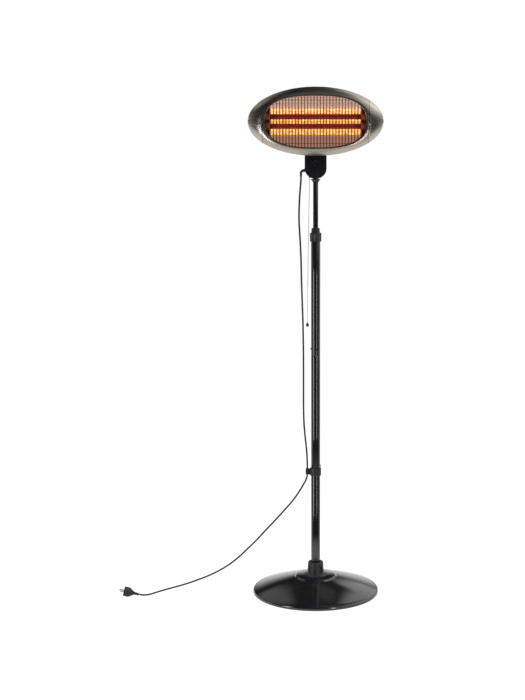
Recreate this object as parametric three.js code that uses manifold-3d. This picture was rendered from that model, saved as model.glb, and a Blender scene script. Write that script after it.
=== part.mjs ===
// An infrared patio heater on a height-adjustable pole: a domed base with a cast weight, three screwed tube
// sections, a sliding inner tube with its twist clamp, a housing with the pull switch, and an oval head that
// tilts, with two wound quartz heating tubes behind a wire guard.
// Millimetres, +Z up, the front faces -Y, and the origin lies on the floor on the pole's axis.
import * as THREE from "three";
import { mergeVertices } from "three/addons/utils/BufferGeometryUtils.js";
import Module from "manifold-3d";

const wasm = await Module();
wasm.setup();

// ---------------------------------------------------------------- driving dimensions
const GAP = 0.3; // clearance where one piece seats on another
const SCREW_CLEARANCE = 0.35; // round a screw's shank in its hole

// base
const BASE_R = 250;
const BASE_STEPS = 30; // facets round the base
const COVER_T = 1.6;
const COVER_FLOOR_GAP = 1.5; // the hem stays clear of the floor, the feet carry the weight
const HEM_W = 7;
const RIM_H = 15;
const RIM_ROUND = 7;
const DOME_TOP_R = 84;
const DOME_TOP_H = 62;
const DOME_BULGE = 3;
const PLATEAU_R = 79;
const PLATEAU_H = 68;
const WEIGHT_R = 238;
const WEIGHT_BOTTOM = 3.5;
const WEIGHT_CLEARANCE = 0.6;
const TUBE_SEAT_H = 24; // the lowest tube stands on this ledge inside the weight
const FOOT_R = 13;
const FOOT_RING_R = 205;
const FOOT_COUNT = 4;
const BASE_BOLT_R = 5;
const BASE_BOLT_HEAD_R = 9;
const BASE_BOLT_HEAD_H = 5.5;
const BASE_BOLT_L = 46;
const WASHER_R = 26;
const WASHER_T = 3;
const TUBE_PLUG_L = 34;

// collar on the base
const COLLAR_FLANGE_R = 46.5;
const COLLAR_FLANGE_T = 4;
const COLLAR_FOOT_R = 33.2;
const COLLAR_TOP_R = 30.5;
const COLLAR_H = 55;
const COLLAR_CHAMFER = 3;
const COLLAR_MOUTH_R = 20;
const COLLAR_MOUTH_DEPTH = 9;
const COLLAR_POCKETS = 4;
const COLLAR_POCKET_W = 12;
const COLLAR_POCKET_DEPTH = 3;
const COLLAR_POCKET_MARGIN = 11; // solid height left below and above each pocket

// pole
const TUBE_R = 18;
const POLE_SIDES = 18; // facets, the same on the tubes and on what fits round them
const TUBE_WALL = 1.5;
const TUBE_CHAMFER = 1;
const SECTION_L = 464;
const SLEEVE_WALL = 2;
const SLEEVE_L = 90;
const JOINT_SCREW_RISE = 26; // above the seam
const JOINT_SCREW_ANGLES = { lower: [-45, 90], upper: [-90, 5] }; // degrees, 0 is the front, 90 is +X
const SCREW_HEAD_R = 4;
const SCREW_HEAD_H = 2.4;
const SCREW_SHANK_R = 2;
const SCREW_SHANK_L = 4.2;
const INNER_TUBE_R = 10;
const INNER_TUBE_WALL = 1.5;
const INNER_TUBE_L = 493;
const SLIDE_BUSH_L = 22;
const SLIDE_BUSH_LIP = 3;

// twist clamp at the top of the pole
const CLAMP_PLUG_L = 40;
const CLAMP_FLANGE_T = 3.5;
const COLLET_L = 20;
const COLLET_FOOT_R = 14;
const COLLET_TIP_R = 13;
const COLLET_SLOT_W = 2.6;
const COLLET_SLOT_L = 14;
const NUT_R = 23;
const NUT_SKIRT = 24; // below the tube's end
const NUT_RIB_TOP = 8; // above the tube's end
const NUT_TOP = 27;
const NUT_CONE_R = 16.5;
const NUT_TIP_R = 15.5;
const NUT_RIBS = 10;
const NUT_RIB_DEPTH = 2;
const NUT_RUNNING_GAP = 0.5;

// cable clip on the pole
const CLIP_Z = 476;
const CLIP_H = 30;
const CLIP_WALL = 3.6;
const CLIP_SPLIT_W = 16;
const CLIP_ARM_T = 6;
const CLIP_JAW_H = 24;
const CLIP_JAW_WALL = 2.4;
const CLIP_MOUTH_W = 5;

// cords
const CORD_R = 3.5;
const CORD_SIDES = 8;
const PULL_CORD_R = 1;
const PULL_TRAVEL = 10;

// housing on the inner tube
const HOUSING_Z = 1628.5; // the housing's lowest point over the floor
const HOUSING_W = 83;
const HOUSING_BOWL = 38.5; // height of the round bottom
const HOUSING_TOP = 93.5;
const HOUSING_CORNER_R = 11;
const HOUSING_FRONT_Y = -19;
const HOUSING_DEPTH = 46;
const HOUSING_SPLIT_Y = 4;
const HOUSING_WALL = 2.5;
const HOUSING_BEVEL = 3.5;
const RECESS_R = 14.5;
const RECESS_DEPTH = 2.5;
const RECESS_Z = 54.5;
const RECESS_BACKING = 2.5;
const COVER_SCREW_HEAD_R = 4.6;
const COVER_SCREW_HEAD_H = 2.2;
const COVER_SCREW_SHANK_R = 2;
const COVER_SCREW_SHANK_L = 11;
const NECK_TOP_R = 18;
const NECK_TIP_R = 12.5;
const NECK_H = 11.5;

// pull switch and terminal block inside the housing
const SWITCH_X = -36.5;
const SWITCH_W = 18.8;
const SWITCH_Z = 29;
const SWITCH_H = 28;
const SWITCH_DEPTH = 18;
const PULL_X = -23;
const PULL_Y = -7;
const SLIDER_R = 2.2;
const SLIDER_Z = 26;
const SLIDER_L = 22;
const SLIDER_RUNNING_GAP = 0.3;
const EYELET_R = 3.2;
const EYELET_BORE_R = 1.8;
const EYELET_FLANGE_R = 4.6;
const EYELET_Z = 4;
const EYELET_L = 11;
const EYELET_FLANGE_T = 1.6;
const TERMINAL_W = 18;
const TERMINAL_H = 27;
const TERMINAL_DEPTH = 15;
const TERMINAL_Z = 30;
const TERMINAL_POLES = 3;

// cable gland with its bend protection
const GLAND_Y = 14;
const GLAND_Z = 31.5;
const GLAND_NIPPLE_R = 5.5;
const GLAND_FLANGE_R = 7;
const GLAND_FLANGE_T = 3;
const GLAND_NUT_SEAT = 6.8; // the nut clears the bowl's slope inside
const BOOT_BEND_R = 11;
const BOOT_TAIL_L = 13;
const BOOT_ROOT_R = 5;
const BOOT_TIP_R = 4.3;

// hinge between housing and head
const PIVOT_Y = 8;
const PIVOT_Z = 117.5; // above the housing's lowest point
const HINGE_R = 12;
const HINGE_W = 44;
const SOCKET_R = 13;
const SOCKET_Z = 8;
const SOCKET_TOP = 62;
const EAR_T = 3;
const HINGE_BOLT_R = 4;
const HINGE_BOLT_HEAD_R = 7;
const HINGE_BOLT_HEAD_L = 5;
const KNOB_R = 15;
const KNOB_L = 18;
const KNOB_LOBES = 6;
const KNOB_LOBE_R = 5.5;
const KNOB_BORE_DEPTH = 14;

// head, in its own frame: the rim plane is y = 0, the face looks along -y
const REST_TILT = 6; // degrees below the horizon
const HEAD_W = 504;
const HEAD_H = 252;
const HEAD_PIVOT_Y = 62; // the pivot in the head's own frame
const HEAD_PIVOT_Z = -100;
const SHEET_T = 1.6;
const BEZEL_DEPTH = 38;
const BEZEL_SKIRT = 6; // straight rim that the rear shell's spigot slides into
const LIP_DEPTH = 5;
const FACE_SIDE_W = 63; // sheet between the rim and the opening, at the sides
const FACE_TOP_W = 31; // and above and below it
const OPENING_POWER = 2.6; // squareness of the opening, 2 is an ellipse
const CAP_W = 54; // an end cap, from its seam to the rim
const BEZEL_STEPS = 32; // facets round the head, the same on face and shell
const SHELL_DEPTH = 50;
const SHELL_WALL = 1.2;
const SHELL_SPIGOT_L = 5;

const VENT_W = 5;
const VENT_L = 32;
const VENT_PITCH = 20;
const VENT_COUNT = 9;
const VENT_Z = 32;

// wire guard
const WIRE_T = 2;
const WIRE_WELD = 0.3; // how far crossing wires sink into each other
const WIRE_PITCH = 11.6;
const GUARD_ROWS = [-48, 0, 50];
const GUARD_RING_T = 3;
const GUARD_RING_INSET = 1; // the ring stands this far outside the opening, hidden by the lip
const GUARD_RING_STEPS = 32;

// heating tubes, reflector and their end brackets
const QUARTZ_R = 9.5;
const QUARTZ_WALL = 1.1;
const QUARTZ_SIDES = 12; // facets, the same on tube and cap
const QUARTZ_SPACING = 34.8;
const QUARTZ_Y = -10;
const QUARTZ_OVERHANG = 5; // past each end bracket
const TROUGH_MARGIN = 1.6; // a trough's radius beyond half the spacing, so that the two meet in a ridge
const TROUGH_EDGE_CUT = 2; // how far short of its radius a trough ends
const REFLECTOR_T = 1;
const REFLECTOR_EDGE_Y = -24;
const REFLECTOR_OVAL_INSET = 2;
const BRACKET_INSET = 20; // from the opening's end
const BRACKET_T = 2;
const BRACKET_HALF_H = 60;
const BRACKET_FRONT_Y = -23;
const CERAMIC_R = 11.5;
const CERAMIC_L = 15;
const COIL_R = 7;
const COIL_WIRE_R = 0.9;
const COIL_CURLS = 18;
const COIL_COLD_L = 9; // from each bracket to the first curl
const COIL_TAIL_L = 5;

// bracket that carries the head
const PLATE_W = 70;
const PLATE_T = 2.5;
const PLATE_TOP = -24;
const PLATE_BOTTOM = -58;

// plug
const PLUG_R = 19.5;
const PLUG_BODY_L = 60;
const PLUG_BOOT_R = 5.5;
const PLUG_TILT = 15; // degrees, as it lies on its rim
const PIN_R = 2.4;
const PIN_L = 19;
const PIN_SPACING = 19;

// ---------------------------------------------------------------- places that follow from them
const JOINT_LOWER_Z = TUBE_SEAT_H + GAP + SECTION_L;
const JOINT_UPPER_Z = JOINT_LOWER_Z + GAP + SECTION_L;
const POLE_TOP_Z = JOINT_UPPER_Z + GAP + SECTION_L;
const TUBE_BORE_R = TUBE_R - TUBE_WALL;
const HOUSING_BACK_Y = HOUSING_FRONT_Y + HOUSING_DEPTH;
const QUARTZ_BORE_R = QUARTZ_R - QUARTZ_WALL;
const TROUGH_R = QUARTZ_SPACING / 2 + TROUGH_MARGIN;
const TROUGH_REACH = TROUGH_R - TROUGH_EDGE_CUT;
const OPENING_W = HEAD_W - 2 * FACE_SIDE_W;
const OPENING_H = HEAD_H - 2 * FACE_TOP_W;
const CAP_SEAM_X = HEAD_W / 2 - CAP_W;
const WIRE_COUNT = 2 * Math.floor(OPENING_W / 2 / WIRE_PITCH);
const BRACKET_X = OPENING_W / 2 - BRACKET_INSET;
const COIL_SPAN = 2 * (BRACKET_X - COIL_COLD_L);
const INNER_TUBE_TOP = 33; // above the housing's lowest point
const CLIP_JAW_R = CORD_R + 2.5 * GAP + CLIP_JAW_WALL;
const CLIP_JAW_X = -33;

// The free stretches of the mains cord, from the boot down to the clip and from the clip to the plug.
const CORD_CLIP_END = [CLIP_JAW_X, 0, CLIP_Z + CLIP_H + GAP];
const BOOT_TIP = [
  -HOUSING_W / 2 - GAP - GLAND_FLANGE_T - BOOT_BEND_R,
  GLAND_Y,
  HOUSING_Z + GLAND_Z - BOOT_BEND_R - BOOT_TAIL_L,
];
const UPPER_CORD_ROUTE = [
  [BOOT_TIP[0], BOOT_TIP[1], BOOT_TIP[2] - GAP],
  [BOOT_TIP[0], 14, 1624],
  [-57.5, 13.5, 1605],
  [-60, 12.5, 1575],
  [-62, 11, 1540],
  [-63.5, 9, 1500],
  [-63.3, 8, 1465],
  [-61, 7, 1425],
  [-58.5, 6, 1380],
  [-56, 5, 1320],
  [-54.5, 4, 1246],
  [-52, 3, 1169],
  [-49.5, 2, 1091],
  [-48, 1.5, 1013],
  [-47.3, 1, 935],
  [-47.3, 0.5, 817],
  [-47.2, 0, 740],
  [-46, 0, 694],
  [-43.4, 0, 655],
  [-39.6, 0, 616],
  [-36, 0, 580],
  [-33.7, 0, 548],
  [CLIP_JAW_X, 0, 524],
  [CORD_CLIP_END[0], CORD_CLIP_END[1], CORD_CLIP_END[2] + GAP],
];
const PLUG_POINT = [-700, -67, 7.6];
const LOWER_CORD_ROUTE = [
  CORD_CLIP_END,
  [CLIP_JAW_X, 0, 492],
  [-33, 0, 477],
  [-37, -0.5, 460],
  [-46.8, -1.8, 441],
  [-63, -3.5, 414],
  [-89, -6, 376],
  [-123, -9, 337],
  [-159, -13, 297],
  [-197, -16.5, 257],
  [-235, -20, 216],
  [-273, -24, 179],
  [-311, -28, 144],
  [-356, -32, 111],
  [-411, -38, 82],
  [-470, -43.5, 59],
  [-520, -49, 43],
  [-574, -54, 29],
  [-612, -58, 19],
  [-640, -61, 11],
  [-656, -62.5, 6.6],
  [-670, -64, 4.4],
  [-686, -65.6, 4.8],
  PLUG_POINT,
];
const PULL_CORD_ROUTE = [
  [PULL_X, PULL_Y, HOUSING_Z + SLIDER_Z - GAP],
  [PULL_X, PULL_Y, HOUSING_Z + 4],
  [-27, PULL_Y, 1433],
  [-30, PULL_Y, 1240],
  [-32, PULL_Y, 1081.6],
];
// facets along each free stretch
const UPPER_CORD_STEPS = 43;
const LOWER_CORD_STEPS = 35;

// ---------------------------------------------------------------- solids
function flipped(triangles) {
  const turned = triangles.slice();
  for (let i = 0; i < turned.length; i += 3) {
    [turned[i + 1], turned[i + 2]] = [turned[i + 2], turned[i + 1]];
  }
  return turned;
}

// A closed geometry as a solid that can be joined and cut, whichever way its faces were wound.
function solid(geometry) {
  const bare = geometry.index ? geometry.toNonIndexed() : geometry.clone();
  bare.deleteAttribute("normal");
  bare.deleteAttribute("uv");
  const merged = mergeVertices(bare, 1e-4);
  const corners = merged.index.array;
  const triangles = [];
  for (let i = 0; i < corners.length; i += 3) {
    const [a, b, c] = corners.slice(i, i + 3);
    if (a !== b && b !== c && c !== a) triangles.push(a, b, c);
  }
  const build = (list) =>
    new wasm.Manifold(
      new wasm.Mesh({
        numProp: 3,
        vertProperties: merged.attributes.position.array,
        triVerts: new Uint32Array(list),
      }),
    );
  const made = build(triangles);
  return made.volume() < 0 ? build(flipped(triangles)) : made;
}

function geometryOf(shape) {
  const mesh = shape.getMesh();
  const geometry = new THREE.BufferGeometry();
  geometry.setAttribute("position", new THREE.BufferAttribute(mesh.vertProperties, 3));
  geometry.setIndex(new THREE.BufferAttribute(mesh.triVerts, 1));
  geometry.computeVertexNormals();
  return geometry;
}

const joined = (shapes) => shapes.reduce((sum, shape) => sum.add(shape));
const cutBy = (body, tools) => tools.reduce((rest, tool) => rest.subtract(tool), body);

function box([x0, x1], [y0, y1], [z0, z1]) {
  const block = new THREE.BoxGeometry(x1 - x0, y1 - y0, z1 - z0);
  return solid(block.translate((x0 + x1) / 2, (y0 + y1) / 2, (z0 + z1) / 2));
}

const UP = new THREE.Vector3(0, 0, 1);

// A geometry made along +Z, turned to look along `direction` and moved to `at`.
function aimed(geometry, direction, at) {
  const turn = new THREE.Quaternion().setFromUnitVectors(UP, direction.clone().normalize());
  return geometry.clone().applyQuaternion(turn).translate(...at);
}

// A round rod between two points.
function rod(from, to, radius, sides = 16) {
  const start = new THREE.Vector3(...from);
  const run = new THREE.Vector3(...to).sub(start);
  const cylinder = new THREE.CylinderGeometry(radius, radius, run.length(), sides);
  cylinder.rotateX(Math.PI / 2).translate(0, 0, run.length() / 2);
  return solid(aimed(cylinder, run, from));
}

// Profile points are [radius, height], closed round a ring or starting and ending on the axis.
function revolvedGeometry(profile, segments) {
  const onAxis = profile[0][0] === 0;
  const points = profile.map(([r, z]) => new THREE.Vector2(r, z));
  if (!onAxis) points.push(points[0].clone());
  return new THREE.LatheGeometry(points, segments).rotateX(Math.PI / 2);
}

const revolve = (profile, segments) => solid(revolvedGeometry(profile, segments));

// A straight tube along Z with its rims chamfered on the outside.
function tube(outerR, innerR, z0, z1, chamfer, segments) {
  return revolve(
    [
      [innerR, z0],
      [outerR - chamfer, z0],
      [outerR, z0 + chamfer],
      [outerR, z1 - chamfer],
      [outerR - chamfer, z1],
      [innerR, z1],
    ],
    segments,
  );
}

const ring = (outerR, innerR, z0, z1, segments) =>
  revolve(
    [
      [innerR, z0],
      [outerR, z0],
      [outerR, z1],
      [innerR, z1],
    ],
    segments,
  );

const AXES = {
  x: new THREE.Matrix4().makeBasis(
    new THREE.Vector3(0, 1, 0),
    new THREE.Vector3(0, 0, 1),
    new THREE.Vector3(1, 0, 0),
  ),
  y: new THREE.Matrix4().makeBasis(
    new THREE.Vector3(1, 0, 0),
    new THREE.Vector3(0, 0, 1),
    new THREE.Vector3(0, -1, 0),
  ),
  z: new THREE.Matrix4(),
};

// An outline pushed along an axis from `low` to `high`. Its points are (y, z) along x, (x, z) along y and
// (x, y) along z. `bevel` rounds both ends inwards.
function prism(outline, axis, low, high, bevel = 0) {
  const shape = new THREE.Shape(outline.map(([u, v]) => new THREE.Vector2(u, v)));
  const geometry = new THREE.ExtrudeGeometry(shape, {
    depth: high - low - 2 * bevel,
    steps: 1,
    bevelEnabled: bevel > 0,
    bevelThickness: bevel,
    bevelSize: bevel,
    bevelOffset: -bevel,
    bevelSegments: 1,
  });
  geometry.translate(0, 0, bevel).applyMatrix4(AXES[axis]);
  const shift = axis === "y" ? high : low;
  return solid(
    geometry.translate(axis === "x" ? shift : 0, axis === "y" ? shift : 0, axis === "z" ? shift : 0),
  );
}

// Points on an ellipse arc, ends included, angles in degrees.
function arc(cx, cy, rx, ry, from, to, steps) {
  return Array.from({ length: steps + 1 }, (_, i) => {
    const angle = THREE.MathUtils.degToRad(from + ((to - from) * i) / steps);
    return [cx + rx * Math.cos(angle), cy + ry * Math.sin(angle)];
  });
}

// Rings of points joined round a closed loop, or capped at both ends.
function loft(rings, closed) {
  const count = rings[0].length;
  const positions = rings.flat(2);
  const triangles = [];
  const spans = closed ? rings.length : rings.length - 1;
  for (let i = 0; i < spans; i++) {
    const here = i * count;
    const next = ((i + 1) % rings.length) * count;
    for (let j = 0; j < count; j++) {
      const k = (j + 1) % count;
      triangles.push(here + j, next + j, here + k);
      triangles.push(next + j, next + k, here + k);
    }
  }
  if (!closed) {
    const last = (rings.length - 1) * count;
    for (let j = 1; j < count - 1; j++) {
      triangles.push(0, j, j + 1);
      triangles.push(last, last + j + 1, last + j);
    }
  }
  const geometry = new THREE.BufferGeometry();
  geometry.setAttribute("position", new THREE.Float32BufferAttribute(positions, 3));
  geometry.setIndex(triangles);
  return solid(geometry);
}

const routeCurve = (points) =>
  new THREE.CatmullRomCurve3(points.map((point) => new THREE.Vector3(...point)), false, "centripetal");

// A round cord along a chosen route.
function cordAlong(points, radius, steps) {
  const outline = arc(0, 0, radius, radius, 0, 360 - 360 / CORD_SIDES, CORD_SIDES - 1);
  const section = new THREE.Shape(outline.map(([u, v]) => new THREE.Vector2(u, v)));
  const path = routeCurve(points);
  return solid(new THREE.ExtrudeGeometry(section, { steps, extrudePath: path, bevelEnabled: false }));
}

// A point on an oval; power 2 is an ellipse and more is squarer.
function ovalPoint(halfW, halfH, power, angle) {
  const reach = (value) => Math.sign(value) * Math.abs(value) ** (2 / power);
  return [halfW * reach(Math.cos(angle)), halfH * reach(Math.sin(angle))];
}

// Half the height of an oval at a distance x from its middle.
const ovalHeight = (halfW, halfH, power, x) =>
  halfH * (1 - Math.abs(x / halfW) ** power) ** (1 / power);

const mix = ([ax, az], [bx, bz], share) => [ax + (bx - ax) * share, az + (bz - az) * share];

const stepsRound = (count) => Array.from({ length: count }, (_, i) => (2 * Math.PI * i) / count);

// ---------------------------------------------------------------- scene graph
const heater = new THREE.Group();
const stand = new THREE.Group();
const clamp = new THREE.Group();
const mast = new THREE.Group();
const tilt = new THREE.Group();
const head = new THREE.Group();
clamp.position.z = POLE_TOP_Z;
mast.position.z = HOUSING_Z;
tilt.position.set(0, PIVOT_Y, PIVOT_Z);
tilt.rotation.x = THREE.MathUtils.degToRad(REST_TILT);
head.position.set(0, -HEAD_PIVOT_Y, -HEAD_PIVOT_Z);
heater.add(stand, clamp, mast);
mast.add(tilt);
tilt.add(head);

const FINISHES = {
  glossBlack: [0x111113, 0.16, 0.2],
  satinBlack: [0x17171a, 0.42, 0],
  blackPlastic: [0x1a1a1e, 0.5, 0],
  cordBlack: [0x2a2a2c, 0.62, 0],
  cordGrey: [0x8f8f8d, 0.8, 0],
  rubber: [0x1c1c1c, 0.85, 0],
  cement: [0x8a8781, 0.95, 0],
  zinc: [0xa9abae, 0.35, 1],
  steel: [0x8b857d, 0.34, 1],
  capSteel: [0x857f78, 0.38, 1],
  shellGrey: [0x2b2b2d, 0.5, 0.4],
  wire: [0xb8b2a8, 0.3, 1],
  mirror: [0xe8e4dc, 0.12, 1],
  darkSteel: [0x1d1c1c, 0.5, 0.7],
  quartz: [0xe9dfd6, 0.06, 0],
  glow: [0xc8260c, 0.5, 0.6],
  ceramic: [0xe6e1d6, 0.6, 0],
};

function piece(group, name, shape, finish) {
  const [color, roughness, metalness] = FINISHES[finish];
  const material = new THREE.MeshStandardMaterial({ color, roughness, metalness });
  const mesh = new THREE.Mesh(geometryOf(shape), material);
  mesh.name = name;
  group.add(mesh);
  return mesh;
}

// ---------------------------------------------------------------- base
// The dome's outside, set in by `inset` all over, from the axis at `bottom` round to the axis on top.
function domeProfile(inset, bottom, fine = 2) {
  const rimR = BASE_R - inset;
  const shoulder = [BASE_R - RIM_ROUND, RIM_H - inset];
  const top = [DOME_TOP_R, DOME_TOP_H - inset];
  const path = new THREE.Path();
  path.moveTo(0, bottom);
  path.lineTo(rimR, bottom);
  path.lineTo(rimR, RIM_H - RIM_ROUND);
  const outline = path.getPoints(1).map((p) => [p.x, p.y]);
  const round = new THREE.QuadraticBezierCurve(
    new THREE.Vector2(rimR, RIM_H - RIM_ROUND),
    new THREE.Vector2(rimR, shoulder[1] - 1),
    new THREE.Vector2(...shoulder),
  );
  const slope = new THREE.QuadraticBezierCurve(
    new THREE.Vector2(...shoulder),
    new THREE.Vector2((shoulder[0] + top[0]) / 2, (shoulder[1] + top[1]) / 2 + 2 * DOME_BULGE),
    new THREE.Vector2(...top),
  );
  const step = new THREE.QuadraticBezierCurve(
    new THREE.Vector2(...top),
    new THREE.Vector2(PLATEAU_R, PLATEAU_H - inset - 1),
    new THREE.Vector2(PLATEAU_R - 3, PLATEAU_H - inset),
  );
  for (const [curve, divisions] of [[round, fine], [slope, 2], [step, fine]]) {
    for (const point of curve.getPoints(divisions).slice(1)) outline.push([point.x, point.y]);
  }
  outline.push([0, PLATEAU_H - inset]);
  return outline;
}

function baseCover() {
  const shell = revolve(domeProfile(0, COVER_FLOOR_GAP), BASE_STEPS);
  const hollow = revolve(domeProfile(COVER_T, COVER_FLOOR_GAP + COVER_T, 1), BASE_STEPS);
  const mouth = ring(BASE_R - HEM_W, TUBE_R, 0, COVER_FLOOR_GAP + 2 * COVER_T, BASE_STEPS);
  const tubeHole = rod([0, 0, -1], [0, 0, PLATEAU_H + 1], TUBE_R + GAP, POLE_SIDES);
  return cutBy(shell, [hollow, mouth, tubeHole]);
}

function baseWeight() {
  const underCover = revolve(domeProfile(COVER_T + WEIGHT_CLEARANCE, WEIGHT_BOTTOM, 1), 20);
  const inReach = rod([0, 0, 0], [0, 0, PLATEAU_H], WEIGHT_R, 20);
  const well = rod([0, 0, TUBE_SEAT_H], [0, 0, PLATEAU_H], TUBE_R + 1, POLE_SIDES);
  const boltHole = rod([0, 0, 0], [0, 0, PLATEAU_H], BASE_BOLT_R + SCREW_CLEARANCE, 12);
  const recess = rod([0, 0, 0], [0, 0, WEIGHT_BOTTOM + BASE_BOLT_HEAD_H + GAP], WASHER_R + 2, 14);
  return cutBy(underCover.intersect(inReach), [well, boltHole, recess]);
}

function baseFoot() {
  return revolve(
    [
      [0, 0],
      [FOOT_R - 1, 0],
      [FOOT_R, 1],
      [FOOT_R, WEIGHT_BOTTOM - GAP],
      [0, WEIGHT_BOTTOM - GAP],
    ],
    8,
  );
}

// The washer lies under the recess's roof, and the hexagon bolt comes up through it into the plug.
const RECESS_ROOF = WEIGHT_BOTTOM + BASE_BOLT_HEAD_H + GAP;
const BOLT_HEAD_TOP = RECESS_ROOF - GAP - WASHER_T - GAP;

function baseBolt() {
  const headFoot = BOLT_HEAD_TOP - BASE_BOLT_HEAD_H + 1;
  const headShape = rod([0, 0, headFoot], [0, 0, BOLT_HEAD_TOP], BASE_BOLT_HEAD_R, 6);
  const shank = rod([0, 0, BOLT_HEAD_TOP - 1], [0, 0, BOLT_HEAD_TOP + BASE_BOLT_L], BASE_BOLT_R, 12);
  return headShape.add(shank);
}

function tubePlug() {
  const bottom = TUBE_SEAT_H + GAP;
  const outer = TUBE_BORE_R - GAP;
  return ring(outer, BASE_BOLT_R + SCREW_CLEARANCE, bottom, bottom + TUBE_PLUG_L, 12);
}

function baseCollar() {
  const z0 = PLATEAU_H + GAP;
  const top = z0 + COLLAR_H;
  const body = revolve(
    [
      [TUBE_R + GAP, z0],
      [COLLAR_FLANGE_R - 1, z0],
      [COLLAR_FLANGE_R, z0 + 1],
      [COLLAR_FLANGE_R, z0 + COLLAR_FLANGE_T - 1.5],
      [COLLAR_FLANGE_R - 1.5, z0 + COLLAR_FLANGE_T],
      [COLLAR_FOOT_R + 3, z0 + COLLAR_FLANGE_T + 1],
      [COLLAR_FOOT_R, z0 + COLLAR_FLANGE_T + 4],
      [COLLAR_TOP_R, top - COLLAR_CHAMFER],
      [COLLAR_TOP_R - COLLAR_CHAMFER, top],
      [COLLAR_MOUTH_R, top],
      [COLLAR_MOUTH_R, top - COLLAR_MOUTH_DEPTH],
      [TUBE_R + GAP, top - COLLAR_MOUTH_DEPTH - 2],
    ],
    POLE_SIDES,
  );
  const floorR = COLLAR_TOP_R - COLLAR_POCKET_DEPTH;
  const span = [z0 + COLLAR_POCKET_MARGIN, top - COLLAR_POCKET_MARGIN];
  const pockets = Array.from({ length: COLLAR_POCKETS }, (_, i) => {
    const geometry = new THREE.BoxGeometry(COLLAR_FLANGE_R, COLLAR_POCKET_W, span[1] - span[0]);
    geometry.translate(floorR + COLLAR_FLANGE_R / 2, 0, (span[0] + span[1]) / 2);
    return solid(geometry.rotateZ(Math.PI / COLLAR_POCKETS + (2 * Math.PI * i) / COLLAR_POCKETS));
  });
  return cutBy(body, pockets);
}

piece(stand, "base_cover", baseCover(), "glossBlack");
piece(stand, "base_weight", baseWeight(), "cement");
for (let i = 0; i < FOOT_COUNT; i++) {
  const angle = (2 * Math.PI * (i + 0.5)) / FOOT_COUNT;
  const foot = piece(stand, `foot_${i + 1}`, baseFoot(), "rubber");
  foot.position.set(FOOT_RING_R * Math.cos(angle), FOOT_RING_R * Math.sin(angle), 0);
}
const washerZ = [RECESS_ROOF - GAP - WASHER_T, RECESS_ROOF - GAP];
piece(stand, "base_washer", ring(WASHER_R, BASE_BOLT_R + SCREW_CLEARANCE, ...washerZ, 12), "zinc");
piece(stand, "base_bolt", baseBolt(), "zinc");
piece(stand, "tube_plug", tubePlug(), "zinc");
piece(stand, "base_collar", baseCollar(), "blackPlastic");

// ---------------------------------------------------------------- pole
// Directions of the screws of one joint, square to the pole.
function screwDirections(joint) {
  return JOINT_SCREW_ANGLES[joint].map((degrees) => {
    const angle = THREE.MathUtils.degToRad(degrees);
    return new THREE.Vector3(Math.sin(angle), -Math.cos(angle), 0);
  });
}

function screwHoles(jointZ, joint) {
  const z = jointZ + JOINT_SCREW_RISE;
  return screwDirections(joint).map((way) =>
    rod([0, 0, z], [way.x * 2 * TUBE_R, way.y * 2 * TUBE_R, z], SCREW_SHANK_R + SCREW_CLEARANCE, 8),
  );
}

// A pan-head screw along +Z: the seat under its head is at z = 0.
function panScrew(headR, headH, shankR, shankL) {
  return revolve(
    [
      [0, -shankL],
      [shankR - 0.5, -shankL],
      [shankR, 0.5 - shankL],
      [shankR, 0],
      [headR, 0],
      [headR, headH * 0.45],
      [headR * 0.6, headH],
      [0, headH],
    ],
    8,
  );
}

const poleTube = (z0, holes) =>
  cutBy(tube(TUBE_R, TUBE_BORE_R, z0, z0 + SECTION_L, TUBE_CHAMFER, POLE_SIDES), holes);

const jointSleeve = (jointZ, holes) => {
  const outer = TUBE_BORE_R - GAP;
  return cutBy(ring(outer, outer - SLEEVE_WALL, jointZ - SLEEVE_L / 2, jointZ + SLEEVE_L / 2, 12), holes);
};

const lowerHoles = screwHoles(JOINT_LOWER_Z, "lower");
const upperHoles = screwHoles(JOINT_UPPER_Z, "upper");
piece(stand, "tube_lower", poleTube(TUBE_SEAT_H + GAP, []), "glossBlack");
piece(stand, "tube_middle", poleTube(JOINT_LOWER_Z + GAP, lowerHoles), "glossBlack");
piece(stand, "tube_upper", poleTube(JOINT_UPPER_Z + GAP, upperHoles), "glossBlack");
piece(stand, "joint_sleeve_lower", jointSleeve(JOINT_LOWER_Z, lowerHoles), "zinc");
piece(stand, "joint_sleeve_upper", jointSleeve(JOINT_UPPER_Z, upperHoles), "zinc");
for (const [joint, jointZ] of [["lower", JOINT_LOWER_Z], ["upper", JOINT_UPPER_Z]]) {
  screwDirections(joint).forEach((way, i) => {
    const shape = panScrew(SCREW_HEAD_R, SCREW_HEAD_H, SCREW_SHANK_R, SCREW_SHANK_L);
    const screw = piece(stand, `joint_screw_${joint}_${i + 1}`, shape, "satinBlack");
    screw.position.copy(way).multiplyScalar(TUBE_R + GAP);
    screw.position.z = jointZ + JOINT_SCREW_RISE;
    screw.quaternion.setFromUnitVectors(UP, way);
  });
}

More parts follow.
